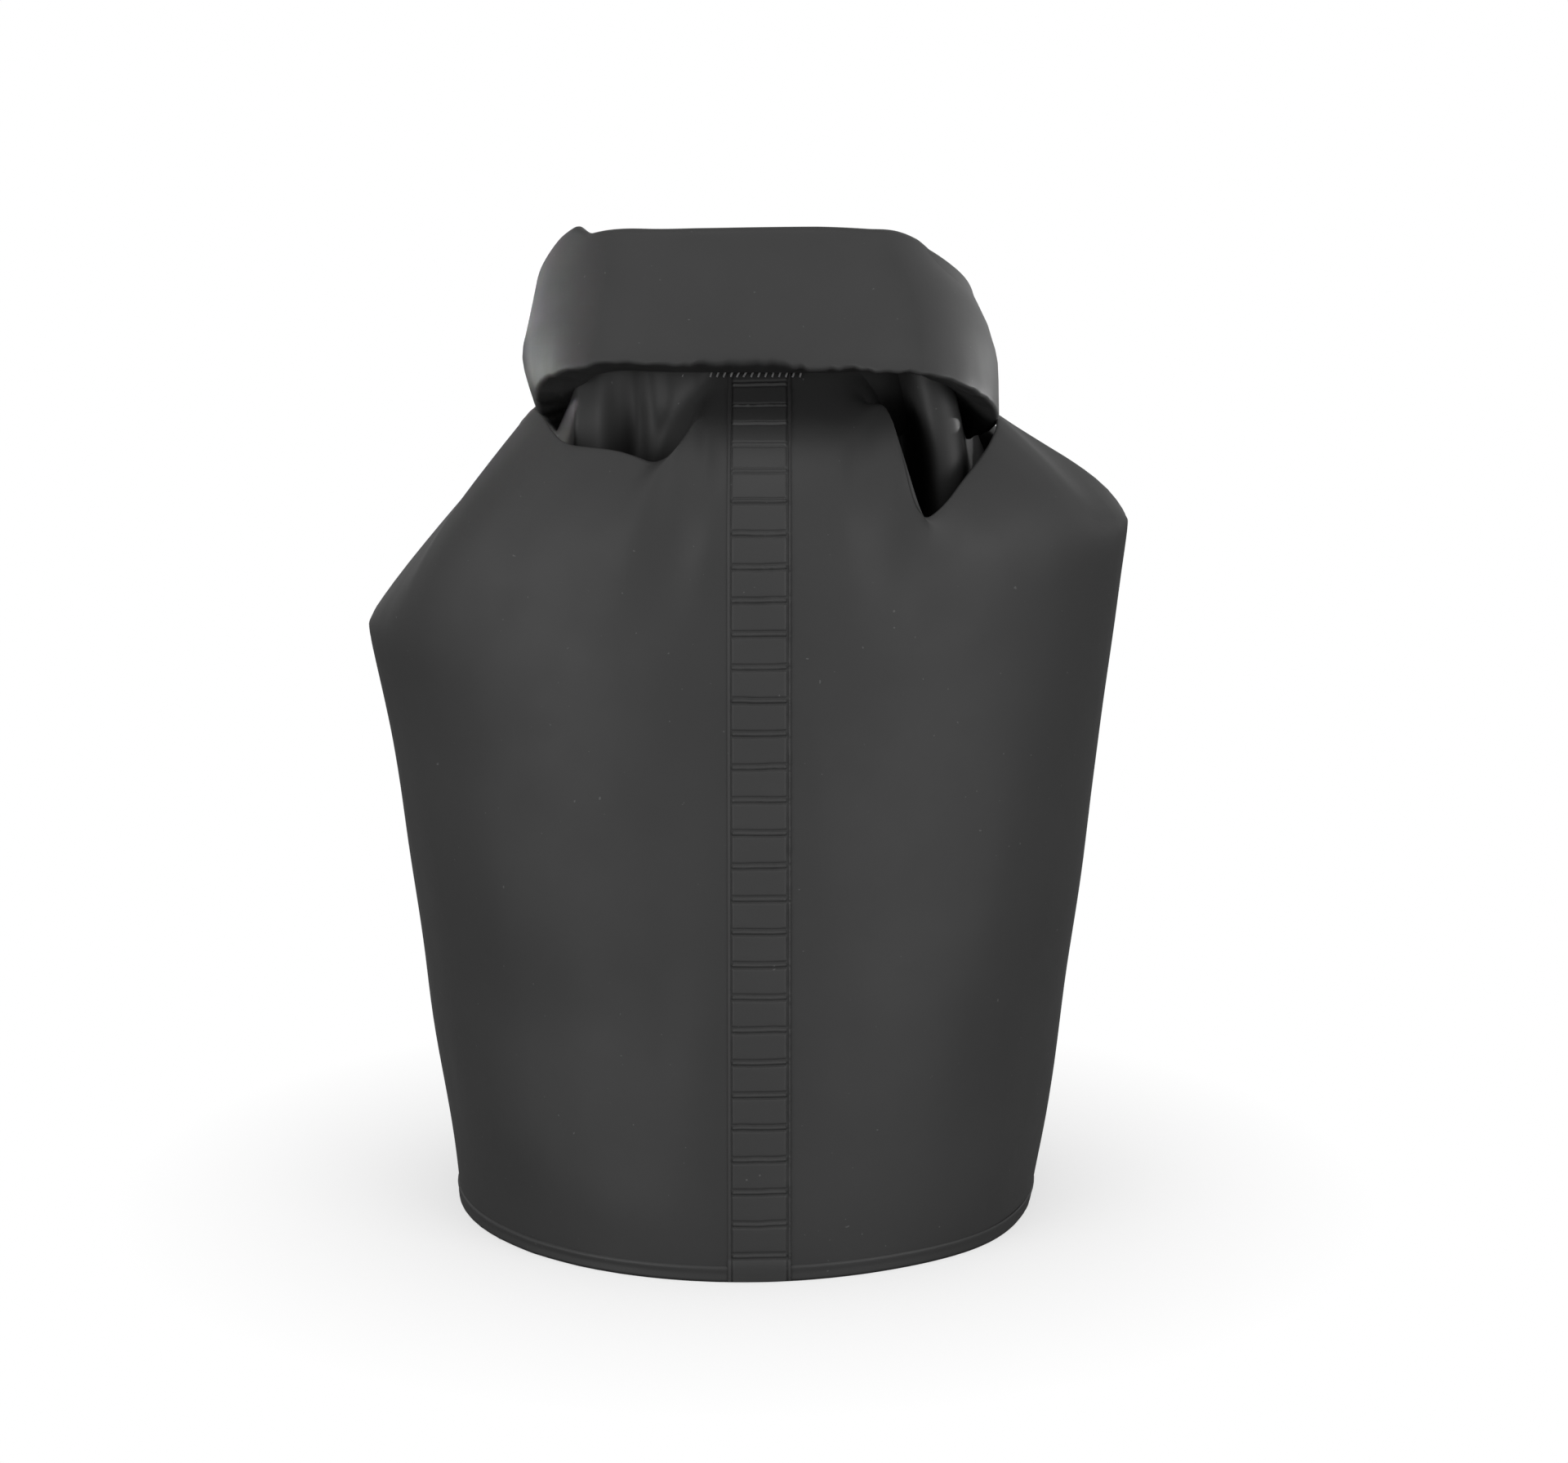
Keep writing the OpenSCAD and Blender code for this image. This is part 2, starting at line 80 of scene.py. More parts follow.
def curve(keys, at):
    """Monotone cubic curve through keys, a list of (place, value...), read at each place in at."""
    keys = np.array(keys, float)
    x, y = keys[:, 0], keys[:, 1:]
    at = np.clip(np.asarray(at, float), x[0], x[-1])
    h = np.diff(x)[:, None]
    slope = np.diff(y, axis=0) / h
    tangent = np.zeros_like(y)
    same_way = slope[:-1] * slope[1:] > 0
    w1, w2 = 2 * h[1:] + h[:-1], h[1:] + 2 * h[:-1]
    with np.errstate(divide="ignore", invalid="ignore"):
        mean = (w1 + w2) / (w1 / slope[:-1] + w2 / slope[1:])
    tangent[1:-1] = np.where(same_way, mean, 0)
    tangent[0], tangent[-1] = slope[0], slope[-1]
    i = np.clip(np.searchsorted(x, at, side="right") - 1, 0, len(x) - 2)
    t = ((at - x[i]) / (x[i + 1] - x[i]))[..., None]
    hi = h[i]
    value = (
        (2 * t**3 - 3 * t**2 + 1) * y[i]
        + (t**3 - 2 * t**2 + t) * hi * tangent[i]
        + (3 * t**2 - 2 * t**3) * y[i + 1]
        + (t**3 - t**2) * hi * tangent[i + 1]
    )
    return value[..., 0] if value.shape[-1] == 1 else value


def bspline(points, steps, closed):
    """Points of the uniform cubic B-spline over the first axis of points, steps to each span.

    Known fault: an open curve's last point falls back to the start of its last span.
    """
    if closed:
        padded = np.concatenate([points[-1:], points, points[:2]])
    else:
        first, last = 2 * points[0] - points[1], 2 * points[-1] - points[-2]
        padded = np.concatenate([first[None], points, last[None]])
    spans = len(padded) - 3
    t = np.arange(steps) / steps
    weights = np.array(
        [(1 - t) ** 3, 3 * t**3 - 6 * t**2 + 4, -3 * t**3 + 3 * t**2 + 3 * t + 1, t**3]
    ) / 6
    out = [
        sum(w * padded[i + k] for k, w in enumerate(weights[:, j]))
        for i in range(spans)
        for j in range(steps)
    ]
    if not closed:
        out.append((padded[spans - 1] + 4 * padded[spans] + padded[spans + 1]) / 6)
    return np.array(out)


def distances(path):
    """Distance along a path at each of its points."""
    return np.concatenate([[0], np.cumsum(np.linalg.norm(np.diff(path, axis=0), axis=1))])


def lattice(shape, seed):
    """Repeatable random table of numbers between -1 and 1."""
    return np.random.RandomState(seed).uniform(-1, 1, shape)


def noise(x, seed):
    """Smooth repeatable noise of one number, between about -1 and 1, with features 1 unit long."""
    x = np.asarray(x, float)
    table = lattice(512, seed)
    i = np.floor(x).astype(int)
    t = x - i
    t = t * t * (3 - 2 * t)
    return table[i % 512] * (1 - t) + table[(i + 1) % 512] * t


def noise2(x, y, seed):
    """Smooth repeatable noise of two numbers, with features 1 unit across."""
    table = lattice((64, 64), seed)
    x, y = np.broadcast_arrays(np.asarray(x, float), np.asarray(y, float))
    i, j = np.floor(x).astype(int), np.floor(y).astype(int)
    u, v = x - i, y - j
    u, v = u * u * (3 - 2 * u), v * v * (3 - 2 * v)
    a, b, c, d = (table[(i + di) % 64, (j + dj) % 64] for di, dj in ((0, 0), (1, 0), (0, 1), (1, 1)))
    return (a * (1 - u) + b * u) * (1 - v) + (c * (1 - u) + d * u) * v


def make(name, points, faces, material):
    """Mesh object from points in millimetres, with the slot that its material is named after."""
    mesh = bpy.data.meshes.new(name)
    mesh.from_pydata((np.asarray(points, float) * MM).tolist(), [], [list(f) for f in faces])
    mesh.validate()
    mesh.polygons.foreach_set("use_smooth", [True] * len(mesh.polygons))
    mesh.materials.append(material)
    obj = bpy.data.objects.new(name, mesh)
    bpy.context.scene.collection.objects.link(obj)
    return obj


def grid_faces(rows, columns, closed, first=0):
    """Quads of a grid of points; a closed grid joins its last column to its first."""
    faces = []
    for i in range(rows - 1):
        for k in range(columns if closed else columns - 1):
            a, b = first + i * columns + k, first + i * columns + (k + 1) % columns
            faces.append((a, b, b + columns, a + columns))
    return faces


def skin(name, rings, material):
    """Closed tube through rings of points, with a fan at each end."""
    rings = np.asarray(rings, float)
    count, n = rings.shape[:2]
    points, faces = list(rings.reshape(-1, 3)), grid_faces(count, n, True)
    for ring, is_last in ((0, False), (count - 1, True)):
        centre = len(points)
        points.append(rings[ring].mean(0))
        for k in range(n):
            a, b = ring * n + k, ring * n + (k + 1) % n
            faces.append((centre, a, b) if is_last else (centre, b, a))
    return make(name, points, faces, material)


def settle(obj, body, cad_node):
    """Fixes a piece to its body, in place of the frame's solid for it."""
    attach(obj, body)
    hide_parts(cad_node)


# ---------------- materials


def material(name, colour, roughness, build=None, **values):
    """Principled material; build(nodes, links, shader) adds its own detail."""
    made = bpy.data.materials.new(name)
    made.use_nodes = True
    tree = made.node_tree
    shader = tree.nodes["Principled BSDF"]
    shader.inputs["Base Color"].default_value = (*colour, 1)
    shader.inputs["Roughness"].default_value = roughness
    for key, value in values.items():
        shader.inputs[key.replace("_", " ")].default_value = value
    if build:
        build(tree, shader)
    return made


def node(tree, kind, **inputs):
    """New shader node with its inputs set; an underscore stands for a space in an input's name."""
    made = tree.nodes.new(kind)
    for key, value in inputs.items():
        made.inputs[key.replace("_", " ")].default_value = value
    return made


def place(tree):
    """The object's own coordinates, in metres, which stay with the piece when it moves."""
    return tree.nodes.new("ShaderNodeTexCoord").outputs["Object"]


def noise_node(tree, scale, detail=2.0, roughness=0.5, stretch=None):
    """Noise texture; scale is in features to a metre."""
    made = node(tree, "ShaderNodeTexNoise", Scale=scale, Detail=detail, Roughness=roughness)
    where = place(tree)
    if stretch:
        mapping = node(tree, "ShaderNodeMapping", Scale=stretch)
        tree.links.new(where, mapping.inputs["Vector"])
        where = mapping.outputs["Vector"]
    tree.links.new(where, made.inputs["Vector"])
    return made.outputs["Fac"]


def ramp(tree, source, stops):
    """Maps source through stops, a list of (place, (r, g, b))."""
    made = tree.nodes.new("ShaderNodeValToRGB")
    elements = made.color_ramp.elements
    while len(elements) < len(stops):
        elements.new(0.5)
    for element, (at, colour) in zip(elements, stops):
        element.position = at
        element.color = (*colour, 1)
    tree.links.new(source, made.inputs["Fac"])
    return made.outputs["Color"]


def math_node(tree, operation, a, b=0.0):
    """Output of a math node; a and b are numbers or outputs of other nodes."""
    made = tree.nodes.new("ShaderNodeMath")
    made.operation = operation
    for slot_at, value in enumerate((a, b)):
        if isinstance(value, (int, float)):
            made.inputs[slot_at].default_value = value
        else:
            tree.links.new(value, made.inputs[slot_at])
    return made.outputs["Value"]


def add_bump(tree, shader, source, height, strength=1.0, below=None):
    """Bump of a height in metres, laid over the normal below if there is one."""
    made = node(tree, "ShaderNodeBump", Strength=strength, Distance=height)
    tree.links.new(source, made.inputs["Height"])
    if below is not None:
        tree.links.new(below, made.inputs["Normal"])
    tree.links.new(made.outputs["Normal"], shader.inputs["Normal"])
    return made.outputs["Normal"]


# the sockets of a mix node that carry colours
MIX_FIRST, MIX_SECOND, MIX_RESULT = 6, 7, 2


def mix_colours(tree, share, first, second):
    """Colour from first to second as share goes from 0 to 1; each is a colour or a node's output."""
    mix = tree.nodes.new("ShaderNodeMix")
    mix.data_type = "RGBA"
    tree.links.new(share, mix.inputs["Factor"])
    for socket, colour in ((MIX_FIRST, first), (MIX_SECOND, second)):
        if isinstance(colour, tuple):
            mix.inputs[socket].default_value = (*colour, 1)
        else:
            tree.links.new(colour, mix.inputs[socket])
    return mix.outputs[MIX_RESULT]


def darken(tree, shader, share):
    """Multiplies the shader's linked colour by share."""
    colour = shader.inputs["Base Color"].links[0].from_socket
    tree.links.new(mix_colours(tree, share, (0, 0, 0), colour), shader.inputs["Base Color"])


def deep_shade(tree, shader):
    """Darkens the colour and the sheen in deep folds, most of all in the pockets far from the seam."""
    occlusion = node(tree, "ShaderNodeAmbientOcclusion", Distance=0.06)
    shade = node(tree, "ShaderNodeMapRange", From_Min=0.0, From_Max=0.21, To_Min=0.03, To_Max=1.0)
    tree.links.new(occlusion.outputs["AO"], shade.inputs["Value"])
    split = tree.nodes.new("ShaderNodeSeparateXYZ")
    tree.links.new(place(tree), split.inputs["Vector"])
    off_seam = math_node(tree, "SUBTRACT", split.outputs["X"], SEAM_MIDDLE * MM)
    weight = node(tree, "ShaderNodeMapRange", From_Min=0.038, From_Max=0.06, To_Min=0.15, To_Max=1.0)
    tree.links.new(math_node(tree, "ABSOLUTE", off_seam), weight.inputs["Value"])
    loss = math_node(tree, "SUBTRACT", 1.0, shade.outputs["Result"])
    kept = math_node(tree, "SUBTRACT", 1.0, math_node(tree, "MULTIPLY", weight.outputs["Result"], loss))
    darken(tree, shader, kept)
    sheen = shader.inputs["Specular IOR Level"]
    tree.links.new(math_node(tree, "MULTIPLY", kept, sheen.default_value), sheen)


def coated_sheet(tree, shader):
    """PVC-coated weave: soft mottling, the scrim's faint threads, and specks of dust."""
    tone = ramp(tree, noise_node(tree, 28, 3), [(0.3, (0.0265,) * 3), (0.7, (0.0295,) * 3)])
    speck = math_node(tree, "GREATER_THAN", noise_node(tree, 620, 1), 0.80)
    dusty = mix_colours(tree, math_node(tree, "MULTIPLY", speck, 0.35), tone, (0.16, 0.16, 0.16))
    tree.links.new(dusty, shader.inputs["Base Color"])
    deep_shade(tree, shader)
    rough = node(tree, "ShaderNodeMapRange", To_Min=0.50, To_Max=0.62)
    tree.links.new(noise_node(tree, 60, 3), rough.inputs["Value"])
    tree.links.new(rough.outputs["Result"], shader.inputs["Roughness"])
    grain = add_bump(tree, shader, noise_node(tree, 2600, 2), 0.00002, 0.5)
    across = noise_node(tree, 900, 1, stretch=(0.06, 0.06, 1.0))
    along = noise_node(tree, 900, 1, stretch=(1.0, 1.0, 0.06))
    add_bump(tree, shader, math_node(tree, "ADD", across, along), 0.00003, 0.35, grain)


def welded_sheet(tree, shader):
    """Coated sheet whose narrow weld grooves hold shadow."""
    coated_sheet(tree, shader)
    groove = node(tree, "ShaderNodeAmbientOcclusion", Distance=0.0016)
    shade = node(tree, "ShaderNodeMapRange", From_Min=0.3, From_Max=0.85, To_Min=0.15, To_Max=1.0)
    tree.links.new(groove.outputs["AO"], shade.inputs["Value"])
    darken(tree, shader, shade.outputs["Result"])


def webbing(tree, shader):
    """Ribbed weave across the webbing."""
    wave = node(tree, "ShaderNodeTexWave", Scale=260, Distortion=1.5, Detail=2.0)
    wave.bands_direction = "DIAGONAL"
    tree.links.new(place(tree), wave.inputs["Vector"])
    tone = ramp(tree, wave.outputs["Fac"], [(0.2, (0.012,) * 3), (0.8, (0.034,) * 3)])
    tree.links.new(tone, shader.inputs["Base Color"])
    add_bump(tree, shader, wave.outputs["Fac"], 0.0003, 0.8)


def moulded(tree, shader):
    """Moulded plastic with a fine spark-eroded grain."""
    grain = noise_node(tree, 3200, 2)
    tone = ramp(tree, noise_node(tree, 90, 3), [(0.35, (0.010,) * 3), (0.7, (0.018,) * 3)])
    tree.links.new(tone, shader.inputs["Base Color"])
    add_bump(tree, shader, grain, 0.00004, 0.5)


def brushed(tree, shader):
    """Steel wire with fine drawn scratches."""
    scratch = noise_node(tree, 1500, 3, stretch=(1.0, 1.0, 0.15))
    tone = ramp(tree, scratch, [(0.3, (0.42, 0.425, 0.43)), (0.7, (0.62, 0.62, 0.63))])
    tree.links.new(tone, shader.inputs["Base Color"])
    add_bump(tree, shader, scratch, 0.00003, 0.4)


def ribbed_plastic(tree, shader):
    """Extruded strip with faint lines along it."""
    lines = noise_node(tree, 1200, 2, stretch=(0.1, 0.1, 1.0))
    tone = ramp(tree, lines, [(0.3, (0.48, 0.48, 0.45)), (0.7, (0.58, 0.58, 0.55))])
    tree.links.new(tone, shader.inputs["Base Color"])
    add_bump(tree, shader, lines, 0.00003, 0.4)


def twisted(tree, shader):
    """Thread with its twist."""
    wave = node(tree, "ShaderNodeTexWave", Scale=1500, Distortion=1.0)
    wave.bands_direction = "DIAGONAL"
    tree.links.new(place(tree), wave.inputs["Vector"])
    tone = ramp(tree, wave.outputs["Fac"], [(0.2, (0.12,) * 3), (0.8, (0.34,) * 3)])
    tree.links.new(tone, shader.inputs["Base Color"])
    add_bump(tree, shader, wave.outputs["Fac"], 0.0001, 0.6)


SHEET = material("coated_sheet", (0.05,) * 3, 0.55, coated_sheet, Specular_IOR_Level=0.35)
WELD = material("welded_sheet", (0.045,) * 3, 0.5, welded_sheet, Specular_IOR_Level=0.4)
WEBBING = material("webbing", (0.02,) * 3, 0.85, webbing, Specular_IOR_Level=0.25)
THREAD = material("thread", (0.08,) * 3, 0.8, twisted)
STIFFENER = material("stiffener", (0.55,) * 3, 0.5, ribbed_plastic)
BUCKLE = material("buckle", (0.016,) * 3, 0.45, moulded)
STEEL = material("steel", (0.55,) * 3, 0.3, brushed, Metallic=1.0)


# ---------------- the closure loop's path

tilt_joint = next(j for j in frame["joints"] if j["name"] == "roll_tilt")
DROOP = math.radians(31)
PIVOT_BELOW = 15  # from the loop's origin down the strip to the tilt's axis
UP = np.array([0, math.sin(DROOP), math.cos(DROOP)])
BACK = np.array([0, math.cos(DROOP), -math.sin(DROOP)])
SIDE = np.array([1.0, 0, 0])
LOOP_ORIGIN = np.array(tilt_joint["pos_m"]) / MM + PIVOT_BELOW * UP

LOOP_FLAT = 38  # half the straight middle
LOOP_R = 30
LOOP_TURN = math.radians(112)
LOOP_ARM = 46  # each straight end
CORNER = LOOP_R * LOOP_TURN
HALF_LEN = LOOP_FLAT + CORNER + LOOP_ARM
ROLL_T = 20  # thickness of the roll
CORNER_LEAN = 16
TAB_ROOT = 24  # length of webbing held between the hems


def loop_pose(s):
    """Sideways and backwards place and turned angle of the strip at distance s, for an array of s."""
    s = np.asarray(s, float)
    a = np.clip((np.abs(s) - LOOP_FLAT) / LOOP_R, 0, LOOP_TURN)
    straight = np.minimum(np.abs(s), LOOP_FLAT)
    arm = np.maximum(np.abs(s) - LOOP_FLAT - CORNER, 0)
    x = straight + LOOP_R * np.sin(a) + arm * math.cos(LOOP_TURN)
    back = LOOP_R * (1 - np.cos(a)) + arm * math.sin(LOOP_TURN)
    return np.sign(s) * x, back, np.sign(s) * a


def lean_at(s):
    """Angle by which the strip's top leans inwards; the tabs' ends stand upright."""
    t = np.clip((np.abs(s) - LOOP_FLAT / 2) / (HALF_LEN - TAB_ROOT - 4 - LOOP_FLAT / 2), 0, 1)
    return np.radians(CORNER_LEAN * np.sin(np.pi * t) ** 1.5)


def loop_point(s, out, up):
    """Points at distance s, moved outwards and up across the strip."""
    x, back, a = loop_pose(s)
    lean = lean_at(s)
    out_flat = out * np.cos(lean) - up * np.sin(lean)
    rise = up * np.cos(lean) + out * np.sin(lean)
    x = x + out_flat * np.sin(a)
    back = back - out_flat * np.cos(a)
    return LOOP_ORIGIN + x[..., None] * SIDE + back[..., None] * BACK + rise[..., None] * UP


def half_height(s):
    """Half the height of the plain strip."""
    return 25 - 6 * (np.abs(s) / HALF_LEN) ** 2


# ---------------- the body's surface

SHOULDER_Z = 220
SHOULDER_LEAN = 18

# outlines of the standing wall: (height, x or y)
LEFT = [(0, -99.6), (8, -100.2), (34, -103.4), (57, -108), (81, -110.2), (104, -112.2), (127, -114.4),
        (162, -119.8), (185, -124), (202, -127.4), (215, -126)]
RIGHT = [(0, 99.8), (8, 101.4), (34, 105.6), (57, 108.9), (81, 112), (104, 115), (127, 117.5),
         (162, 120.3), (185, 122.8), (207, 125.2), (219, 126.4), (238, 129)]
FRONT = [(0, -100), (8, -100), (60, -96.5), (110, -92), (165, -86.5), (220, -80.5), (240, -78)]
BACK_WALL = [(0, 100), (8, 100), (110, 84), (171, 68), (220, 52), (240, 45)]
BASE_SPREAD = 2.6  # outward stand of the base's front right quarter
WALL_LEVELS = [0, 0.004, 0.014, 0.027, 0.045, 0.1, 0.2, 0.32, 0.43, 0.54, 0.66, 0.76, 0.85, 0.93, 1]

# profile of the front panel beside the seam, from the shoulder up behind the roll: (y, height)
FRONT_RISE = [(-77.6, 243), (-73.7, 253), (-68, 262), (-60.6, 269.7), (-51.6, 275.4), (-41.7, 279.8),
              (-34, 283.8), (-29.5, 288), (-27.6, 294), (-27.8, 300), (-30, 306), (-33.5, 312)]

# folded mouth: (angle, lip xyz, valley xyz, inner face xyz), from the seam round each side to the back
RIGHT_FOLD = [
    (17.5, 41, -31, 289, 40, -27, 286, 40.5, -25, 289),
    (20, 45.3, -34, 286.3, 43, -28, 280, 44, -22, 285),
    (22, 48, -45.5, 279, 45, -32, 264, 46.5, -17, 281),
    (24, 50.4, -58, 270.6, 47, -28, 248, 50, -9, 276),
    (26, 53.4, -66, 259.8, 50, -24, 236, 54, -6, 271),
    (28, 56.4, -69, 250.4, 55, -26, 228, 57.5, -12, 267),
    (30, 59.4, -68.5, 247.7, 60, -38, 228, 59.5, -36, 265),
    (33, 63.2, -65.5, 249.6, 65, -44, 232, 63, -44.5, 264),
    (36.5, 67.3, -61.5, 253.2, 70, -43, 236, 67.5, -45.5, 264),
    (40.5, 71, -56, 257.3, 74, -39, 242, 73.3, -42, 265),
    (44, 74.4, -52, 260.8, 76, -12, 238, 76, -6, 262),
    (48.5, 77.6, -47.5, 264.2, 79, 6, 236, 79, 16, 262),
    (55, 81.3, -42, 268.9, 83, 14, 238, 83, 26, 263),
    (61, 83.8, -34.5, 273.9, 86, 18, 241, 86, 30, 263),
    (66, 83.8, -28, 276.4, 89, 19, 243, 87, 31, 263),
    (71, 89.3, -22, 272.2, 94, 10, 245, 87, 24, 268),
    (77, 106.2, -14, 260.9, 98, 7, 249, 86, 18, 264),
    (83, 121, -7, 251.2, 104, 10, 246, 84, 22, 259),
    (90, 129, 0, 237, 108, 13, 241, 82, 25, 254),
    (105, 122, 18, 239, 100, 26, 243, 76, 26, 250),
    (120, 103, 30, 239, 88, 27, 243, 66, 16, 252),
    (135, 84, 37, 238, 72, 24, 243, 58, -2, 258),
    (150, 57, 40, 236, 52, 20, 243, 46, -14, 264),
    (165, 29, 37, 234, 28, 14, 244, 26, -18, 267),
    (180, 2, 34, 234, 3, 9, 244, 4, -19, 267),
]
LEFT_FOLD = [
    (-180, 2, 34, 234, 3, 9, 244, 4, -19, 267),
    (-165, -27, 36, 233, -25, 12, 243, -20, -18, 267),
    (-150, -55, 38, 230, -49, 18, 241, -40, -14, 264),
    (-135, -80, 37, 226, -68, 24, 238, -50, -2, 257),
    (-120, -100, 30, 218, -84, 27, 233, -58, 16, 251),
    (-105, -118, 18, 210, -97, 26, 226, -68, 26, 247),
    (-90, -126.5, 0, 205, -105, 16, 220, -76, 26, 247),
    (-85, -115, -6, 221, -97, 13, 226, -78, 26, 254),
    (-80, -99, -12, 239.5, -90, 10, 232, -80, 25, 260),
    (-74, -84.5, -19, 257.5, -83, 8, 236, -80, 22, 266),
    (-69, -75.5, -27, 269, -78, 6, 238, -79, 18, 269),
    (-64, -68.5, -35, 278.8, -74, 4, 238, -77, 15, 270),
    (-58, -65, -42, 277, -68, 0, 240, -72, 10, 270),
    (-52, -61.8, -48, 273.3, -62, -10, 244, -64, 0, 268),
    (-47, -58.5, -52, 270.6, -57, -30, 252, -56.2, -36, 270),
    (-43, -54.7, -54.5, 269.5, -54.5, -40, 256, -54.6, -43, 276),
    (-38, -48.8, -57, 269.2, -48, -40, 256, -47.5, -41.5, 278),
    (-32, -40.5, -59, 268.4, -41, -36, 252, -40, -33, 276),
    (-27, -33.8, -60.3, 266.6, -35, -32, 250, -34.5, -28, 275),
    (-23, -28.6, -61.3, 265, -29.5, -34, 250, -29, -32, 276),
    (-19, -23, -62, 267.4, -24, -42, 260, -23.5, -29, 278),
    (-16, -18.5, -57.5, 272.4, -19, -42, 268, -19, -30, 282),
    (-12, -14, -47.5, 278.3, -14.5, -36, 280, -14.5, -31, 286),
    (-8, -9, -41, 281, -9.5, -33, 285, -9.5, -30, 288),
]
PLAIN_FROM, PLAIN_TO = -6, 16  # the span of angles, beside the seam, where the panel isn't folded


def strip_side(angle):
    """Distance along the strip at which a column of the body enters the roll."""
    turned = angle if abs(angle) <= 90 else math.copysign(180 - abs(angle), angle)
    return (HALF_LEN - 2) * turned / 90


def wall_point(angle, level):
    """Point of the standing wall at a share of its height."""
    sine, cosine = math.sin(math.radians(angle)), math.cos(math.radians(angle))
    z = level * (SHOULDER_Z + SHOULDER_LEAN * sine)
    left, right = curve(LEFT, z), curve(RIGHT, z)
    front, back = curve(FRONT, z), curve(BACK_WALL, z)
    pinch = 1 + 0.18 * smooth(level, 0.5, 1)
    x = (left + right) / 2 + (right - left) / 2 * sine
    y = (front + back) / 2 - (back - front) / 2 * np.sign(cosine) * abs(cosine) ** pinch
    spread = BASE_SPREAD * bump(angle, 52, 18) * (1 - smooth(z, 12, 60))
    x, y = x + spread * sine, y - spread * cosine
    return np.array([x, y, z])


def mouth_points(angle):
    """The twelve net points of a column above the shoulder."""
    shoulder, below = wall_point(angle, 1), wall_point(angle, 0.93)
    s = np.array(strip_side(float(angle)))
    entry = -ROLL_T / 2 - 0.8 + 12.8 * bump(angle, 37, 8) + 5 * bump(angle, -44, 9)
    lifted = loop_point(s, entry, -4.0)
    inside = loop_point(s, max(entry, -ROLL_T / 2 + 3.5), 5.0)
    turn_in = [float(smooth(z, SHOULDER_Z, 290)) for _, z in FRONT_RISE]
    flat_back = shoulder[1] - curve(FRONT, SHOULDER_Z)
    plain = np.array([
        [shoulder[0] * (1 - t) + lifted[0] * t, y + (1 - t) * flat_back, z]
        for t, (y, z) in zip(turn_in, FRONT_RISE)
    ])
    if PLAIN_FROM < angle < PLAIN_TO:
        return plain
    at = curve(RIGHT_FOLD if angle > 0 else LEFT_FOLD, float(angle))
    lip, valley, face = at[:3], at[3:6], at[6:9]
    up_wall = (shoulder - below) / np.linalg.norm(shoulder - below)
    reach = np.linalg.norm(lip - shoulder)
    belly = 0.8 - 0.3 * float(smooth(abs(angle), 24, 40)) - 0.38 * float(smooth(abs(angle), 45, 75))
    control = shoulder + up_wall * belly * reach
    rise = [(1 - t) ** 2 * shoulder + 2 * t * (1 - t) * control + t * t * lip for t in (0.36, 0.7)]
    round_front = 2.4 + 2.6 * bump(angle, 25, 4)
    radius = min(round_front + 12 * float(smooth(abs(angle), 78, 94)), 0.3 * reach)
    arrive = (lip - control) / max(np.linalg.norm(lip - control), 1e-6)
    leave = (valley - lip) / max(np.linalg.norm(valley - lip), 1e-6)
    lip = lip + radius * (arrive - leave) / 6
    folded = np.array([
        rise[0],
        rise[1],
        lip - radius * arrive,
        lip,
        lip + radius * leave,
        0.4 * lip + 0.6 * valley,
        valley,
        0.5 * valley + 0.5 * face,
        face,
        0.45 * face + 0.55 * lifted,
        lifted,
        inside,
    ])
    folded[:4, 1] -= 1.6 * bump(angle, -17, 6)
    mix = float(smooth(-angle, -PLAIN_FROM, 12) if angle < 0 else smooth(angle, PLAIN_TO, 22))
    return (1 - mix) * plain + mix * folded


FINE_TO = 78  # angle to which the net's columns stand FINE_STEP apart, on both sides of the seam
FINE_STEP = 1.5
STEPS = 3

# soft swellings and hollows of the standing wall: (push outwards, angle, its reach, height, its reach)
DENTS = [(1.5, -52, 24, 136, 30), (-1.6, -36, 26, 84, 24), (0.8, -40, 26, 30, 20), (-0.7, 62, 10, 60, 60)]


def dents(grid, angles):
    """The grid with its wall pushed in and out; the seam and the folded mouth stay as they are."""
    z, a = grid[..., 2], np.where(angles > 180, angles - 360, angles)[None, :]
    push = sum(far * bump(a, at, turn) * bump(z, up, rise) for far, at, turn, up, rise in DENTS)
    waves = 0.9 * noise2(a / 24 + 40, z / 42, 7) + 0.35 * noise2(a / 9 + 40, z / 60, 8)
    push = push + waves * smooth(z, 8, 40)
    beside_seam = smooth(np.abs(a - 3), 8, 18)
    push = push * beside_seam * (1 - smooth(z, 225, 262))
    centre = grid.mean(1, keepdims=True)
    away = grid - centre
    away[..., 2] = 0
    away /= np.maximum(np.linalg.norm(away, axis=2, keepdims=True), 1e-6)
    return grid + push[..., None] * away


def body_surface():
    """Body as a grid of points [row, column, xyz], and each column's angle."""
    fine = np.arange(-FINE_TO, FINE_TO + 0.1, FINE_STEP)
    coarse = np.arange(FINE_TO + 6, 360 - FINE_TO - 5.9, 6)
    angles = np.concatenate([fine, coarse])
    columns = []
    for angle in map(signed, angles):
        wall = [wall_point(angle, level) for level in WALL_LEVELS]
        columns.append(np.concatenate([wall, mouth_points(angle)]))
    across = bspline(np.array(columns), STEPS, closed=True)
    grid = bspline(across.transpose(1, 0, 2), 4, closed=False)
    turned = np.concatenate([angles, [360 - FINE_TO]])
    column_angles = np.interp(np.arange(len(angles) * STEPS) / STEPS, np.arange(len(turned)), turned)
    return dents(grid, column_angles), column_angles


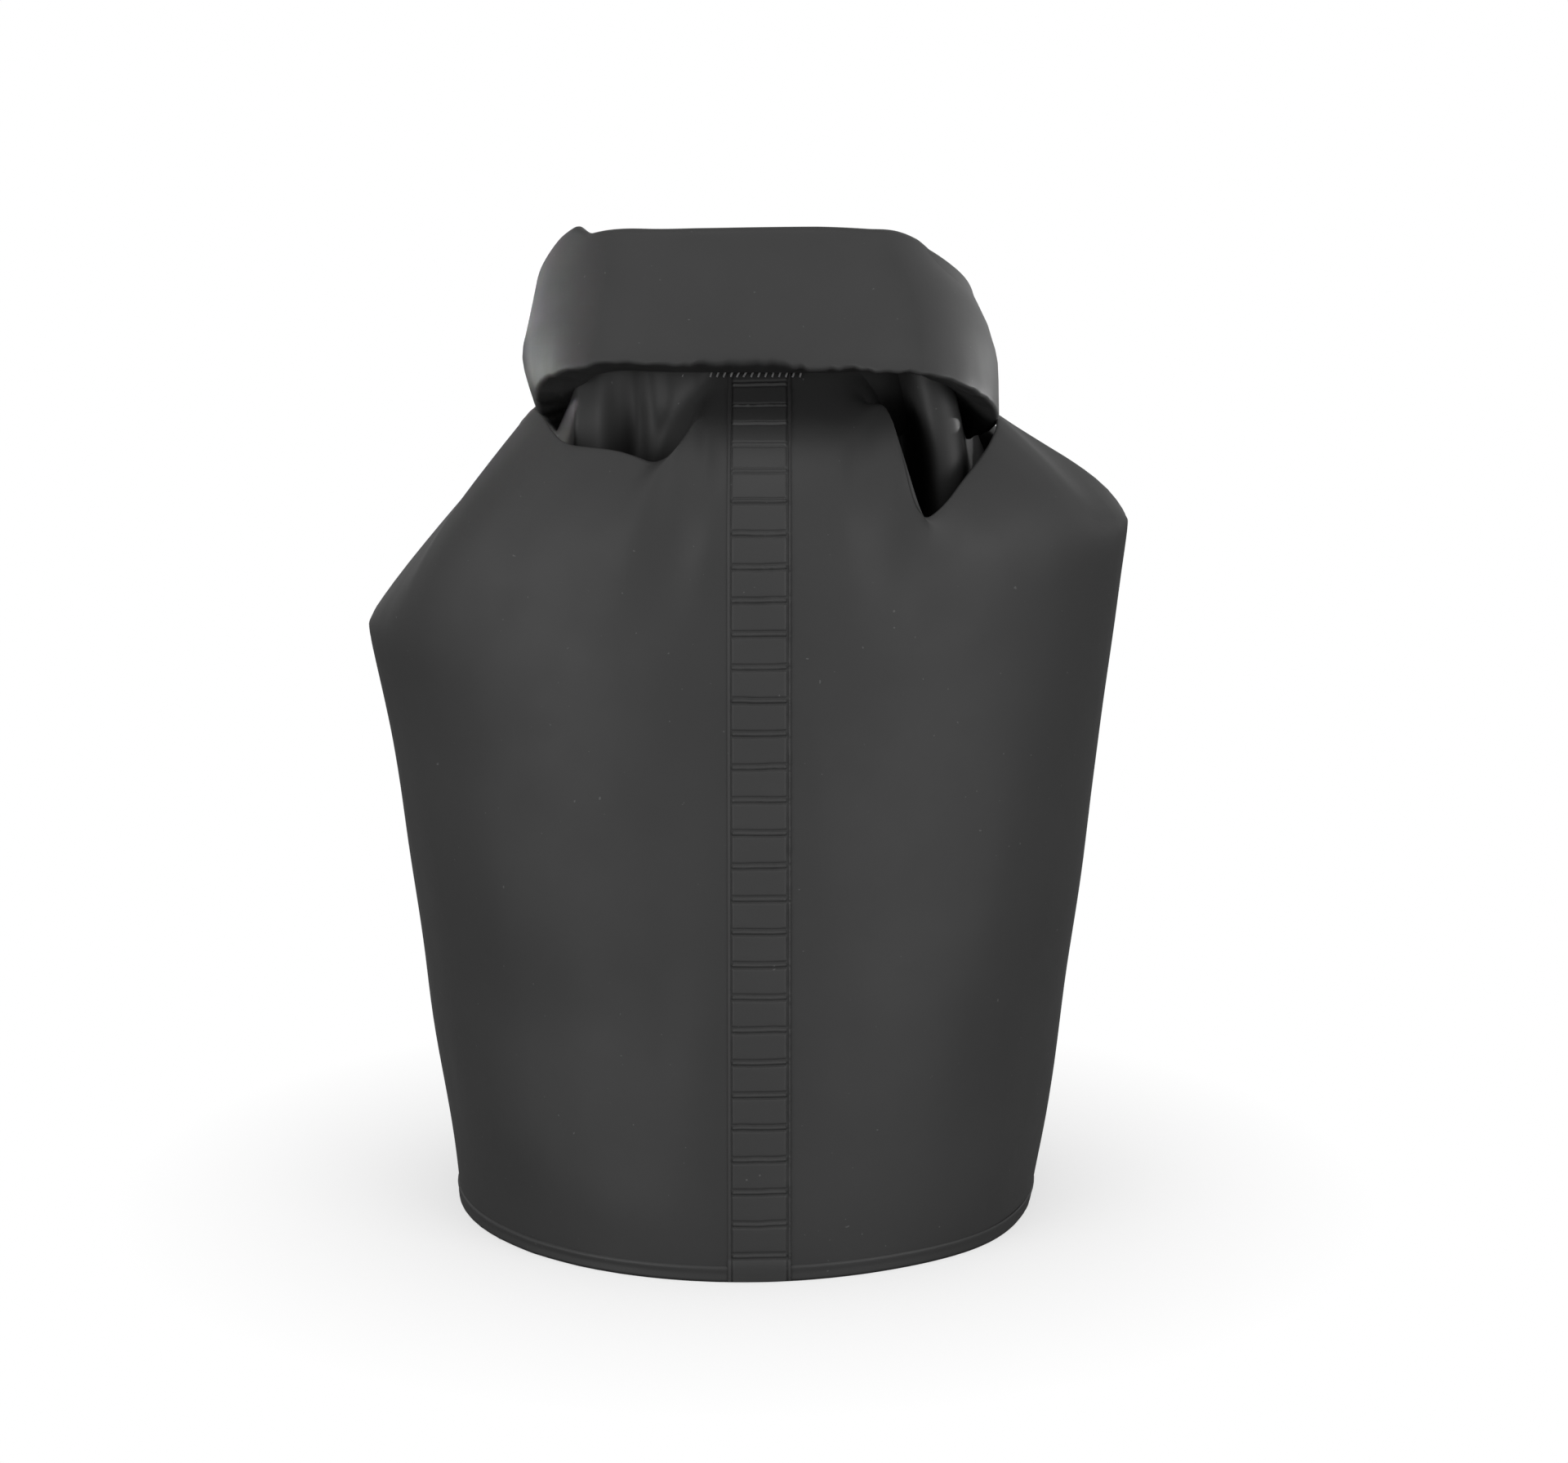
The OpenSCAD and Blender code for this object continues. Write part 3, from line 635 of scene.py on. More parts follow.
body_grid, body_angles = body_surface()


def bend_with_roll(obj):
    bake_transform(obj)


def build_body():
    rows, columns = body_grid.shape[:2]
    obj = make("body_sheet", body_grid.reshape(-1, 3), grid_faces(rows, columns, True), SHEET)
    bend_with_roll(obj)
    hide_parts("body_tube")


build_body()

# ---------------- the ladder-welded seam

SEAM_LEFT, SEAM_RIGHT = -5.0, 16.3  # the overlap's edges
WELD_LEFT, WELD_RIGHT = -3.3, 14.75  # the two pressed lines along it
WELD_MIDDLE = (WELD_LEFT + WELD_RIGHT) / 2
RUNG_PITCH = 10.74
FIRST_RUNG = 8.9
RUNGS = 29
SEAM_TOP = FIRST_RUNG + (RUNGS - 1) * RUNG_PITCH + 4

# heights over the body, with the half width of each line
LAP_STEP = 0.28
EDGE_BEAD = (0.34, 0.6)
CUT_EDGE_BEAD = (0.55, 0.33)
WELD_GROOVE = (0.55, 0.25)
RUNG_BEAD = (0.40, 0.40)
RUNG_GROOVE = (0.48, 0.28)
RUNG_GROOVE_OFF = 0.95  # from a rung's bead to the groove on each side of it


def front_line(x):
    """The body's front at one x, as a point for each row of the grid."""
    near = np.where((body_angles > -20) & (body_angles < 22))[0]
    wrapped = np.concatenate([near[near > len(body_angles) // 2], near[near <= len(body_angles) // 2]])
    return np.array([
        [x, np.interp(x, row[wrapped, 0], row[wrapped, 1]), np.interp(x, row[wrapped, 0], row[wrapped, 2])]
        for row in body_grid
    ])


def seam_frames(x, along):
    """Points and outward normals of the body's front at one x, at distances up from the base."""
    line = front_line(x)
    climbed = distances(line)
    points = np.stack([np.interp(along, climbed, line[:, k]) for k in range(3)], 1)
    slope = np.gradient(points, axis=0)
    normal = np.stack([np.zeros(len(points)), -slope[:, 2], slope[:, 1]], 1)
    return points, normal / np.linalg.norm(normal, axis=1)[:, None]


def line_height(size, x, centre):
    """Height of a bead or groove of (height, half width) at x."""
    return size[0] * bump(x, centre, size[1])


def seam_height(x, along):
    """Height of the seam's surface over the body at one x, for distances along it."""
    lap = LAP_STEP * smooth(x, SEAM_LEFT, SEAM_LEFT + 0.9)
    lap = lap - 0.35 * (1 - smooth(x, SEAM_LEFT, SEAM_LEFT + 0.4))
    lap = lap - 0.75 * smooth(x, SEAM_RIGHT - 0.45, SEAM_RIGHT)
    height = np.full(len(along), lap)
    height += line_height(EDGE_BEAD, x, SEAM_LEFT + 1.0)
    ragged = 0.75 + 0.35 * noise(along / 1.3, 21) + 0.25 * noise(along / 0.5, 22)
    height += line_height(CUT_EDGE_BEAD, x, WELD_RIGHT + 0.85) * ragged
    height -= line_height(WELD_GROOVE, x, WELD_LEFT) + line_height(WELD_GROOVE, x, WELD_RIGHT)
    over_base_weld = 0.45 * (1 - smooth(along, 6, 8))
    height += over_base_weld
    between = float(smooth(x, WELD_LEFT, WELD_LEFT + 0.5) * (1 - smooth(x, WELD_RIGHT - 0.5, WELD_RIGHT)))
    for k in range(RUNGS):
        off = along - (FIRST_RUNG + k * RUNG_PITCH) - 0.12 * noise(x / 5 + 9 * k, 23)
        is_broken = smooth(noise(k * 1.7, 24), 0.0, 0.4)
        beads = 1 - is_broken * (0.5 + 0.5 * noise(x / 0.55 + 31 * k, 25))
        grooves = line_height(RUNG_GROOVE, np.abs(off), RUNG_GROOVE_OFF)
        height += between * (beads * line_height(RUNG_BEAD, off, 0) - grooves)
    return height


def build_seam():
    """Fine mesh strip over the body, with closer rows and columns where a line crosses."""
    half = [0.2, 0.45, 0.7, 0.95, 1.2, 1.5, 1.9]
    fine = np.array([-h for h in reversed(half)] + [0] + half)
    along = [0.4, 1.5, 3, 5]
    for k in range(RUNGS):
        rung = FIRST_RUNG + k * RUNG_PITCH
        along += list(rung + fine) + [rung + RUNG_PITCH * share for share in (0.3, 0.43, 0.57, 0.7)]
    along = np.array([a for a in along if a < SEAM_TOP] + [SEAM_TOP])
    edge = np.array([0, 0.2, 0.4, 0.7, 1.0, 1.3])
    xs = np.concatenate([
        SEAM_LEFT + edge, WELD_LEFT + np.array([-0.25, 0, 0.25, 0.5]), np.arange(-2.3, 14.0, 0.5),
        WELD_RIGHT + np.array([-0.5, -0.25, 0, 0.25, 0.5, 0.7, 0.85, 1.0, 1.2, 1.35]), [SEAM_RIGHT],
    ])
    columns = []
    for x in xs:
        points, normal = seam_frames(x, along)
        columns.append(points + seam_height(x, along)[:, None] * normal)
    grid = np.array(columns).transpose(1, 0, 2)
    obj = make("seam_weld", grid.reshape(-1, 3), grid_faces(len(along), len(xs), False), WELD)
    bend_with_roll(obj)
    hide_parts("seam_strip")


build_seam()

# ---------------- base

# profile of the pressed weld round the base: (outwards from the wall, height)
BAND_PROFILE = [(-0.4, 0.15), (0.25, 0.05), (0.7, 0.35), (0.75, 1.2), (0.55, 2.4), (0.6, 3.6), (0.95, 4.3),
                (0.8, 4.9), (0.3, 5.4), (-0.4, 5.6)]
# profile of the base panel's rim, from the flat out to its turned-up flange: (radius, height)
RIM_PROFILE = [(94, 0), (96, 0.02), (97.4, 0.1), (98.2, 0.5), (98.6, 1.3), (98.7, 2.6), (98.7, 7.9),
               (98.3, 8.1), (98.0, 7.9), (97.8, 1.6)]
PANEL_R = 92
PANEL_CROWN = 1.1  # height of the panel's middle over the floor
PANEL_RINGS = 24


def build_band():
    """Weld band: its profile carried round the foot of the wall, with small ripples."""
    angles = np.arange(0, 360, 1.5)
    rings = []
    for out, z in BAND_PROFILE:
        ring = []
        for angle in angles:
            foot = wall_point(signed(angle), max(z, 0) / SHOULDER_Z)
            away = np.array([foot[0], foot[1], 0]) / math.hypot(foot[0], foot[1])
            stand = 0.4 + 0.6 * bump(signed(angle), -42, 30)
            ripple = 0.12 * noise(angle / 4, 31) + 0.08 * noise(angle / 1.5, 32)
            reach = out if out < 0 else stand * (out + ripple)
            ring.append(np.array([foot[0], foot[1], z]) + away * reach)
        rings.append(ring)
    n, last = len(angles), (len(BAND_PROFILE) - 1) * len(angles)
    faces = grid_faces(len(BAND_PROFILE), n, True)
    faces += [(last + k, last + (k + 1) % n, (k + 1) % n, k) for k in range(n)]
    band = make("base_weld", np.array(rings).reshape(-1, 3), faces, WELD)
    settle(band, "bag", "base_weld_band")


def build_panel():
    """Base panel: a slightly crowned disc with a turned-up flange, in the outline of the wall's foot."""
    steps = np.linspace(0, 1, PANEL_RINGS)
    crown = list(zip(PANEL_R * steps, PANEL_CROWN * np.cos(steps * math.pi / 2)))
    degrees = np.arange(0, 360, 3)
    reach = np.array([np.linalg.norm(wall_point(signed(a), 0.01)[:2]) for a in degrees]) / 100
    angles = np.radians(degrees)
    rings = []
    for r, z in crown + RIM_PROFILE:
        sag = 0.35 * noise2(degrees / 25, r / 22, 33) * bump(r, 55, 35)
        x, y = r * reach * np.sin(angles), -r * reach * np.cos(angles)
        rings.append(np.stack([x, y, np.maximum(z + sag, 0)], 1))
    faces = grid_faces(len(rings), len(angles), True)
    panel = make("base_disc", np.array(rings).reshape(-1, 3), faces, SHEET)
    settle(panel, "bag", "base_panel")


build_band()
build_panel()

# ---------------- the rolled strip

TURNS = 3
LAYER = 1.1  # two thicknesses of sheet
CORE_REACH = 5.6  # from the strip's mid-surface to the innermost turn

# how far the outer turn's edges stand from the plain strip's: (distance along the strip, rise)
TOP_EDGE = [
    (-142, 0), (-100, -0.5), (-84, 0.5), (-73, 3.4), (-65, 7.6), (-60, 8.0), (-56, 3.5), (-52, -0.4),
    (-30, -0.8), (0, -0.3), (36, 0.8), (46, 2.2), (52, 2.0), (59, -1.0), (70, -4), (84, -4), (110, -1),
    (142, 0),
]
BOTTOM_EDGE = [
    (-142, 0), (-105, 1), (-85, 1.5), (-68, -2.4), (-50, -5.4), (-38, -5), (-24, -1.6), (-9, -0.4),
    (8, -1.2), (20, -4), (38, -9), (55, -13.5), (72, -15.5), (90, -13), (110, -4), (142, 0),
]
FRONT_HANG = 0.42  # drop of the underside towards the front, for each millimetre
CORNER_HANG = 0.35  # the same, added round the two corners

# the flattened turn: share of a turn at which each corner starts and ends, its angles and its side
CORNER_AT = [0, 0.2, 0.32, 0.38, 0.5, 0.7, 0.82, 0.88, 1]
CORNER_ANGLE = [180, 180, 90, 90, 0, 0, -90, -90, -180]
CORNER_OUT = np.array([-1, -1, -1, 1, 1, 1, 1, -1, -1])
CORNER_UP = np.array([-1, 1, 1, 1, 1, -1, -1, -1, -1])


def section(s):
    """Flattened spiral at distance s, as (out, up, share of the way out) of each point of its mid-line."""
    turn = np.linspace(0, TURNS, 64 * TURNS + 1)
    share = 1 - turn / TURNS
    at = turn % 1
    at[-1] = 1
    half_t = CORE_REACH + (ROLL_T / 2 - LAYER / 2 - CORE_REACH) * share
    tall = float(half_height(s)) - ROLL_T / 2 + half_t
    front_low = 1.3 + 2.0 * bump(s, -2, 20)
    radii = np.array([6, 5.5, 5.5, 4.2, 4.2, front_low, front_low, 6, 6])
    shrink = 0.45 + 0.55 * share

    def read(values):
        return np.interp(at, CORNER_AT, values)

    angle, radius = np.radians(read(CORNER_ANGLE)), read(radii) * shrink
    out = read(CORNER_OUT) * half_t - read(CORNER_OUT * radii) * shrink
    up = read(CORNER_UP) * tall - read(CORNER_UP * radii) * shrink
    return out + radius * np.cos(angle), up + radius * np.sin(angle), share


def outer_shape(s, out, up, share):
    """Moves the wrap off the plain strip: uneven edges, corners drawn in, less lean, crimps."""
    top, bottom = smooth(up, 6, 22), smooth(-up, 10, 24)
    ragged = 1.2 * noise(s / 6.5, 3) + 1.1 * noise(s / 2.4, 4)
    front, hang = smooth(out, -2, 6), smooth(out, -4, 8)
    rise = top * curve(TOP_EDGE, s)
    rise = rise + bottom * (curve(BOTTOM_EDGE, s) * (0.15 + 0.85 * hang) + ragged * front)
    corner = float(smooth(abs(s), 30, 60) * (1 - smooth(abs(s), 105, 130)))
    rise = rise - bottom * (FRONT_HANG + CORNER_HANG * corner) * out
    lean_less = np.radians(9 * bump(s, -62, 26) - 15 * bump(s, 68, 24) * (up > 0))
    out = out - 14 * smooth(-up, 6, 34) * bump(s, -84, 22) - 5.5 * bottom * bump(s, 78, 24)
    crimps = 1.2 * bump(s, -46, 12) + 0.8 * bump(s, 50, 14) + 0.35 * noise2(s / 17 + 9, up / 14 + 9, 5)
    weight = share**2  # the outer turn moves most
    return out + weight * (lean_less * up + crimps * front), up + weight * rise


def build_roll():
    """The wrap: a spiral of one layer swept along the loop, closed at both ends."""
    stations = np.linspace(-HALF_LEN, HALF_LEN, 260)
    rings = []
    for s in stations:
        out, up = outer_shape(s, *section(s))
        along = np.stack([np.gradient(out), np.gradient(up)], 1)
        along /= np.linalg.norm(along, axis=1)[:, None]
        off = LAYER / 2 * np.stack([along[:, 1], -along[:, 0]], 1)
        mid = np.stack([out, up], 1)
        outline = np.concatenate([mid + off, (mid - off)[::-1]])
        rings.append(loop_point(np.full(len(outline), s), outline[:, 0], outline[:, 1]))
    rings = np.array(rings)
    count, n = rings.shape[:2]
    faces = grid_faces(count, n, True)
    for first, is_last in ((0, False), ((count - 1) * n, True)):
        for k in range(n // 2 - 1):
            face = (first + k, first + k + 1, first + n - 2 - k, first + n - 1 - k)
            faces.append(face if is_last else face[::-1])
    obj = make("roll_wrap_sheet", rings.reshape(-1, 3), faces, SHEET)
    settle(obj, "closure_roll", "roll_wrap")


HEM_OUT = 2.7  # from the loop's mid-surface to each hem's middle
HEM_T, HEM_H, HEM_WALL = 3.0, 28.8, 0.5


def squared(half_t, half_h):
    """Outline of a hem, as (out, up): a rectangle with soft corners."""
    turned = np.linspace(0, 2 * np.pi, 40, endpoint=False)
    c, v = np.cos(turned), np.sin(turned)
    return half_t * np.sign(c) * np.abs(c) ** 0.5, half_h * np.sign(v) * np.abs(v) ** 0.25


def build_hem(name, side, cad_node):
    """Folded edge of one side of the mouth, round its stiffener."""
    stations = np.linspace(-HALF_LEN + 0.5, HALF_LEN - 0.5, 120)
    rings = []
    for inset in (0, HEM_WALL):
        out, up = squared(HEM_T / 2 - inset, HEM_H / 2 - inset)
        rings.append([loop_point(np.full(len(out), s), side * HEM_OUT + out, up) for s in stations])
    rings = np.array(rings)
    count, n = rings.shape[1:3]
    faces = grid_faces(count, n, True) + [f[::-1] for f in grid_faces(count, n, True, count * n)]
    for row, flip in ((0, True), (count - 1, False)):
        for k in range(n):
            a, b = row * n + k, row * n + (k + 1) % n
            face = (a, b, b + count * n, a + count * n)
            faces.append(face[::-1] if flip else face)
    obj = make(name, rings.reshape(-1, 3), faces, SHEET)
    settle(obj, "closure_roll", cad_node)


build_roll()
build_hem("front_hem", 1, "front_hem_sleeve")
build_hem("back_hem", -1, "back_hem_sleeve")

# ---------------- webbing

WEB_T = 1.4
WEB_W = 20
BAR_X = 19.75  # from the loop's middle to each bar of the buckle
BEND_R = 8
BAR_LOOP_R = 2.8  # mid-line radius of the webbing round a bar
TAIL_RISE = 3.9
TAB_OUT = 3
RIB_PITCH = 1.6


def in_loop(flat, up):
    """Points of the loop's own frame, (sideways, backwards) and up the strip."""
    flat = np.asarray(flat, float)
    up = np.broadcast_to(np.asarray(up, float), flat.shape[:-1])
    return LOOP_ORIGIN + flat[..., :1] * SIDE + flat[..., 1:] * BACK + up[..., None] * UP


def arc(centre, radius, start, end, steps):
    angles = np.radians(np.linspace(start, end, steps))
    return [(centre[0] + radius * math.cos(a), centre[1] + radius * math.sin(a)) for a in angles]


def evenly(path, pitch):
    """The path's points, resampled at an even pitch."""
    path = np.array(path, float)
    far = distances(path)
    at = np.linspace(0, far[-1], int(far[-1] / pitch) + 1)
    return np.stack([np.interp(at, far, path[:, k]) for k in range(2)], 1), at


def strap(name, path, width, mirrored=False):
    """Ribbed webbing swept along a path in the loop's plane."""
    path, far = evenly(path, 0.4)
    if mirrored:
        path = path * np.array([-1, 1])
    along = np.gradient(path, axis=0)
    along /= np.linalg.norm(along, axis=1)[:, None]
    across = np.stack([along[:, 1], -along[:, 0]], 1)
    half = width / 2
    edge = np.radians(np.linspace(-90, 90, 7))
    rim = [(math.sin(a) * WEB_T / 2, half - 0.7 + 0.7 * math.cos(a)) for a in edge]
    face = [(WEB_T / 2, u) for u in np.linspace(half - 1.2, -half + 1.2, 14)]
    half_outline = np.array(rim + face)
    outline = np.concatenate([half_outline, -half_outline])
    rib = 0.07 * np.sin(far * 2 * math.pi / RIB_PITCH)
    rings = []
    for centre, normal, swell in zip(path, across, rib):
        weave = np.sign(outline[:, 0]) * swell * np.cos(outline[:, 1] * 2 * math.pi / 2.6)
        flat = centre + (outline[:, 0] + weave)[:, None] * normal
        rings.append(in_loop(flat, outline[:, 1]))
    if mirrored:
        rings = [ring[::-1] for ring in rings]
    return skin(name, rings, WEBBING)


def tab_path():
    """Right tab's mid-line: root between the hems, bend, leg, loop round the bar, tail."""
    x, back, turn = (float(v) for v in loop_pose(HALF_LEN))
    way = np.array([math.cos(turn), math.sin(turn)])
    bend_start = np.array([x, back]) + TAB_OUT * way
    centre = bend_start + BEND_R * np.array([-way[1], way[0]])
    bar = (BAR_X, centre[1] + BEND_R - BAR_LOOP_R)
    tail = bar[1] - BAR_LOOP_R
    path = [tuple(bend_start - (TAB_ROOT + TAB_OUT) * way)]
    path += arc(centre, BEND_R, math.degrees(turn) - 90, 90, 14)
    path += arc(bar, BAR_LOOP_R, 90, 270, 20)
    path += [(BAR_X + 1.5, tail), (BAR_X + 3, tail + 1), (BAR_X + 4.6, tail + TAIL_RISE - 0.8)]
    path += [(BAR_X + 6, tail + TAIL_RISE), (BAR_X + 15, tail + TAIL_RISE)]
    return path, tail + TAIL_RISE


STITCH_RINGS = 7
STITCH_SIDES = 8


def stitches(name, places, radius):
    """Thread stitches, each an arched tube of (start, end, lift) whose ends sink into the cloth."""
    turned = np.arange(STITCH_SIDES) * 2 * math.pi / STITCH_SIDES
    points, faces = [], []
    for start, end, lift in places:
        start, end, lift = (np.asarray(v, float) for v in (start, end, lift))
        away = lift / np.linalg.norm(lift)
        side = np.cross((end - start) / np.linalg.norm(end - start), away)
        first = len(points)
        last = first + (STITCH_RINGS - 1) * STITCH_SIDES
        for t in np.linspace(0, 1, STITCH_RINGS):
            centre = start + (end - start) * t + lift * (math.sin(math.pi * t) - 0.35)
            points += [centre + radius * (math.cos(a) * side + math.sin(a) * away) for a in turned]
        faces += grid_faces(STITCH_RINGS, STITCH_SIDES, True, first)
        faces.append(tuple(range(first + STITCH_SIDES - 1, first - 1, -1)))
        faces.append(tuple(range(last, last + STITCH_SIDES)))
    return make(name, points, faces, THREAD)


def tab_stitches(name, tail_back, sign):
    """Three stitch rows on a tab's tail; sign is 1 on the right and -1 on the left."""
    rows = []
    for up in (-WEB_W * 0.36, 0, WEB_W * 0.36):
        for k in range(4):
            near, far = BAR_X + 7.2 + k * 1.75, BAR_X + 8.5 + k * 1.75
            face = tail_back - WEB_T / 2 - 0.05
            ends = in_loop([(sign * near, face), (sign * far, face)], up)
            rows.append((ends[0], ends[1], -0.3 * BACK))
    return stitches(name, rows, 0.28)


def build_webbing():
    path, tail_back = tab_path()
    right = strap("right_tab", path, WEB_W)
    settle(right, "closure_roll", "tab_right")
    left = strap("left_tab", path, WEB_W, mirrored=True)
    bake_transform(left)
    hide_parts("tab_left")
    sewn = tab_stitches("right_tab_thread", tail_back, 1)
    settle(sewn, "closure_roll", "tab_right_stitching")
    sewn = tab_stitches("left_tab_thread", tail_back, -1)
    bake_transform(sewn)
    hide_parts("tab_left_stitching")


RING_X = 30.6
RING_WIRE_R = 1.5
RING_GAP = 0.08


def build_keeper():
    """Short webbing strip over the ring's bar, sewn down on both sides of it."""
    _, tail_back = tab_path()
    chord = tail_back - TAIL_RISE + 2 * BAR_LOOP_R
    bar = (RING_X, chord + WEB_T / 2 + RING_WIRE_R + RING_GAP)
    foot = chord + WEB_T + 0.05
    reach = RING_WIRE_R + RING_GAP + WEB_T / 2
    path = [(bar[0] - 6.2, foot), (bar[0] - 2.9, foot)] + arc(bar, reach, 180, 0, 24)
    path += [(bar[0] + 2.9, foot), (bar[0] + 6.2, foot)]
    keeper = strap("ring_keeper_strap", path, 15)
    settle(keeper, "closure_roll", "ring_keeper")
    rows = []
    for side in (-1, 1):
        for up in np.arange(-5.6, 5.7, 1.6):
            x = bar[0] + side * 4.5
            ends = in_loop([(x, foot + WEB_T / 2 + 0.05)] * 2, [up - 0.6, up + 0.6])
            rows.append((ends[0], ends[1], 0.3 * BACK))
    sewn = stitches("ring_keeper_thread", rows, 0.26)
    settle(sewn, "closure_roll", "ring_keeper_stitching")


COLLAR_STITCHES = 18
COLLAR_SPAN = 38.6


def build_collar_stitches():
    """Slanted stitches across the seam's upper end, just below the roll."""
    middle = SEAM_TOP - 0.1
    line, normals = seam_frames(WELD_MIDDLE, np.array([middle - 1.3, middle + 1.3]))
    normal = normals[0]
    rows = []
    for k in range(COLLAR_STITCHES):
        x = (k / (COLLAR_STITCHES - 1) - 0.5) * COLLAR_SPAN
        slant = 0.6 + 0.3 * noise(k * 0.9, 41)
        low, high = line[0] + 0.5 * normal, line[1] + 0.5 * normal
        low[0], high[0] = x - slant, x + slant
        rows.append((low, high, 0.45 * normal))
    obj = stitches("collar_thread", rows, 0.32)
    bend_with_roll(obj)
    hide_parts("collar_stitching")


build_webbing()
build_keeper()
build_collar_stitches()

# ---------------- carried-over nodes

FINISH = {
    "front_stiffener": STIFFENER, "back_stiffener": STIFFENER, "d_ring": STEEL,
    "buckle_socket": BUCKLE, "buckle_plug": BUCKLE, "prong_upper": BUCKLE, "prong_lower": BUCKLE,
}
ROUNDED = {"buckle_socket": 0.35, "buckle_plug": 0.35, "prong_upper": 0.25, "prong_lower": 0.25}


def finish_nodes():
    """Materials for the nodes that show as they are, and softened edges on the moulded ones."""
    for name, finish in FINISH.items():
        obj = frame["nodes"][name]
        obj.data.materials.clear()
        obj.data.materials.append(finish)
        if name in ROUNDED:
            edge = obj.modifiers.new("edges", "BEVEL")
            edge.width = ROUNDED[name] * MM
            edge.segments = 2
            edge.limit_method = "ANGLE"
            edge.angle_limit = math.radians(40)


finish_nodes()

# ---------------- studio

# strength of the surrounding light below the horizon, at it, and overhead as a share of that at it
WORLD_BELOW, WORLD_RING, WORLD_TOP = 0.05, 0.8, 0.3
FLOOR_BOUNCE = 0.3
FLOOR_FADE_M = (0.1, 0.22)  # distances from the middle between which the floor turns plain white
FLOOR_WHITE = 0.6
FLOOR_HALF_M = 6.0

# area lights: name, place, aim, size, watts and spread in degrees
LIGHTS = [
    ("overhead", (0, -0.4, 2.2), (0, 0, 0.18), (2.4, 2.0), 16, 180),
    ("front_left", (-1.9, -1.8, 0.55), (0, 0, 0.12), (1.6, 1.0), 26, 180),
    ("front_right", (1.9, -1.8, 0.55), (0, 0, 0.12), (1.6, 1.0), 26, 180),
    ("left_rim", (-1.6, 0.55, 0.31), (-0.05, 0, 0.31), (0.5, 0.03), 0.12, 5),
    ("right_rim", (1.6, 0.55, 0.31), (0.06, 0, 0.31), (0.5, 0.03), 0.16, 5),
]

CAMERA_AIM_M = (0.0137, 0, 0.163)
CAMERA_DISTANCE_M = 1.40
CAMERA_ELEVATION = math.radians(12)
SENSOR_MM = 36
LENS_MM = 93.7875


def area_light(name, place_m, aim_m, size_m, power, spread):
    data = bpy.data.lights.new(name, "AREA")
    data.shape = "RECTANGLE"
    data.size, data.size_y = size_m
    data.energy = power
    data.spread = math.radians(spread)
    obj = bpy.data.objects.new(name, data)
    bpy.context.scene.collection.objects.link(obj)
    obj.location = place_m
    obj.rotation_mode = "QUATERNION"
    obj.rotation_quaternion = (Vector(aim_m) - Vector(place_m)).to_track_quat("-Z", "Y")


def camera_ray(tree):
    """1 for what the camera sees directly, 0 for light that bounces."""
    return tree.nodes.new("ShaderNodeLightPath").outputs["Is Camera Ray"]


def build_world():
    """White to the camera; to the object, a ring of soft light that is strongest near the horizon."""
    world = bpy.data.worlds.new("studio")
    bpy.context.scene.world = world
    world.use_nodes = True
    tree = world.node_tree
    background = tree.nodes["Background"]
    split = tree.nodes.new("ShaderNodeSeparateXYZ")
    tree.links.new(tree.nodes.new("ShaderNodeTexCoord").outputs["Generated"], split.inputs["Vector"])
    ring = node(
        tree, "ShaderNodeMapRange", From_Min=-0.1, From_Max=0.05, To_Min=WORLD_BELOW, To_Max=WORLD_RING
    )
    tree.links.new(split.outputs["Z"], ring.inputs["Value"])
    upwards = node(tree, "ShaderNodeMapRange", From_Min=0.0, From_Max=1.0, To_Min=1.0, To_Max=WORLD_TOP)
    tree.links.new(split.outputs["Z"], upwards.inputs["Value"])
    strength = math_node(tree, "MULTIPLY", ring.outputs["Result"], upwards.outputs["Result"])
    tree.links.new(math_node(tree, "MAXIMUM", strength, camera_ray(tree)), background.inputs["Strength"])
    background.inputs["Color"].default_value = (1, 1, 1, 1)


def mix_shaders(tree, share, first, second):
    mix = tree.nodes.new("ShaderNodeMixShader")
    for socket, output in zip(mix.inputs, (share, first, second)):
        tree.links.new(output, socket)
    return mix.outputs["Shader"]


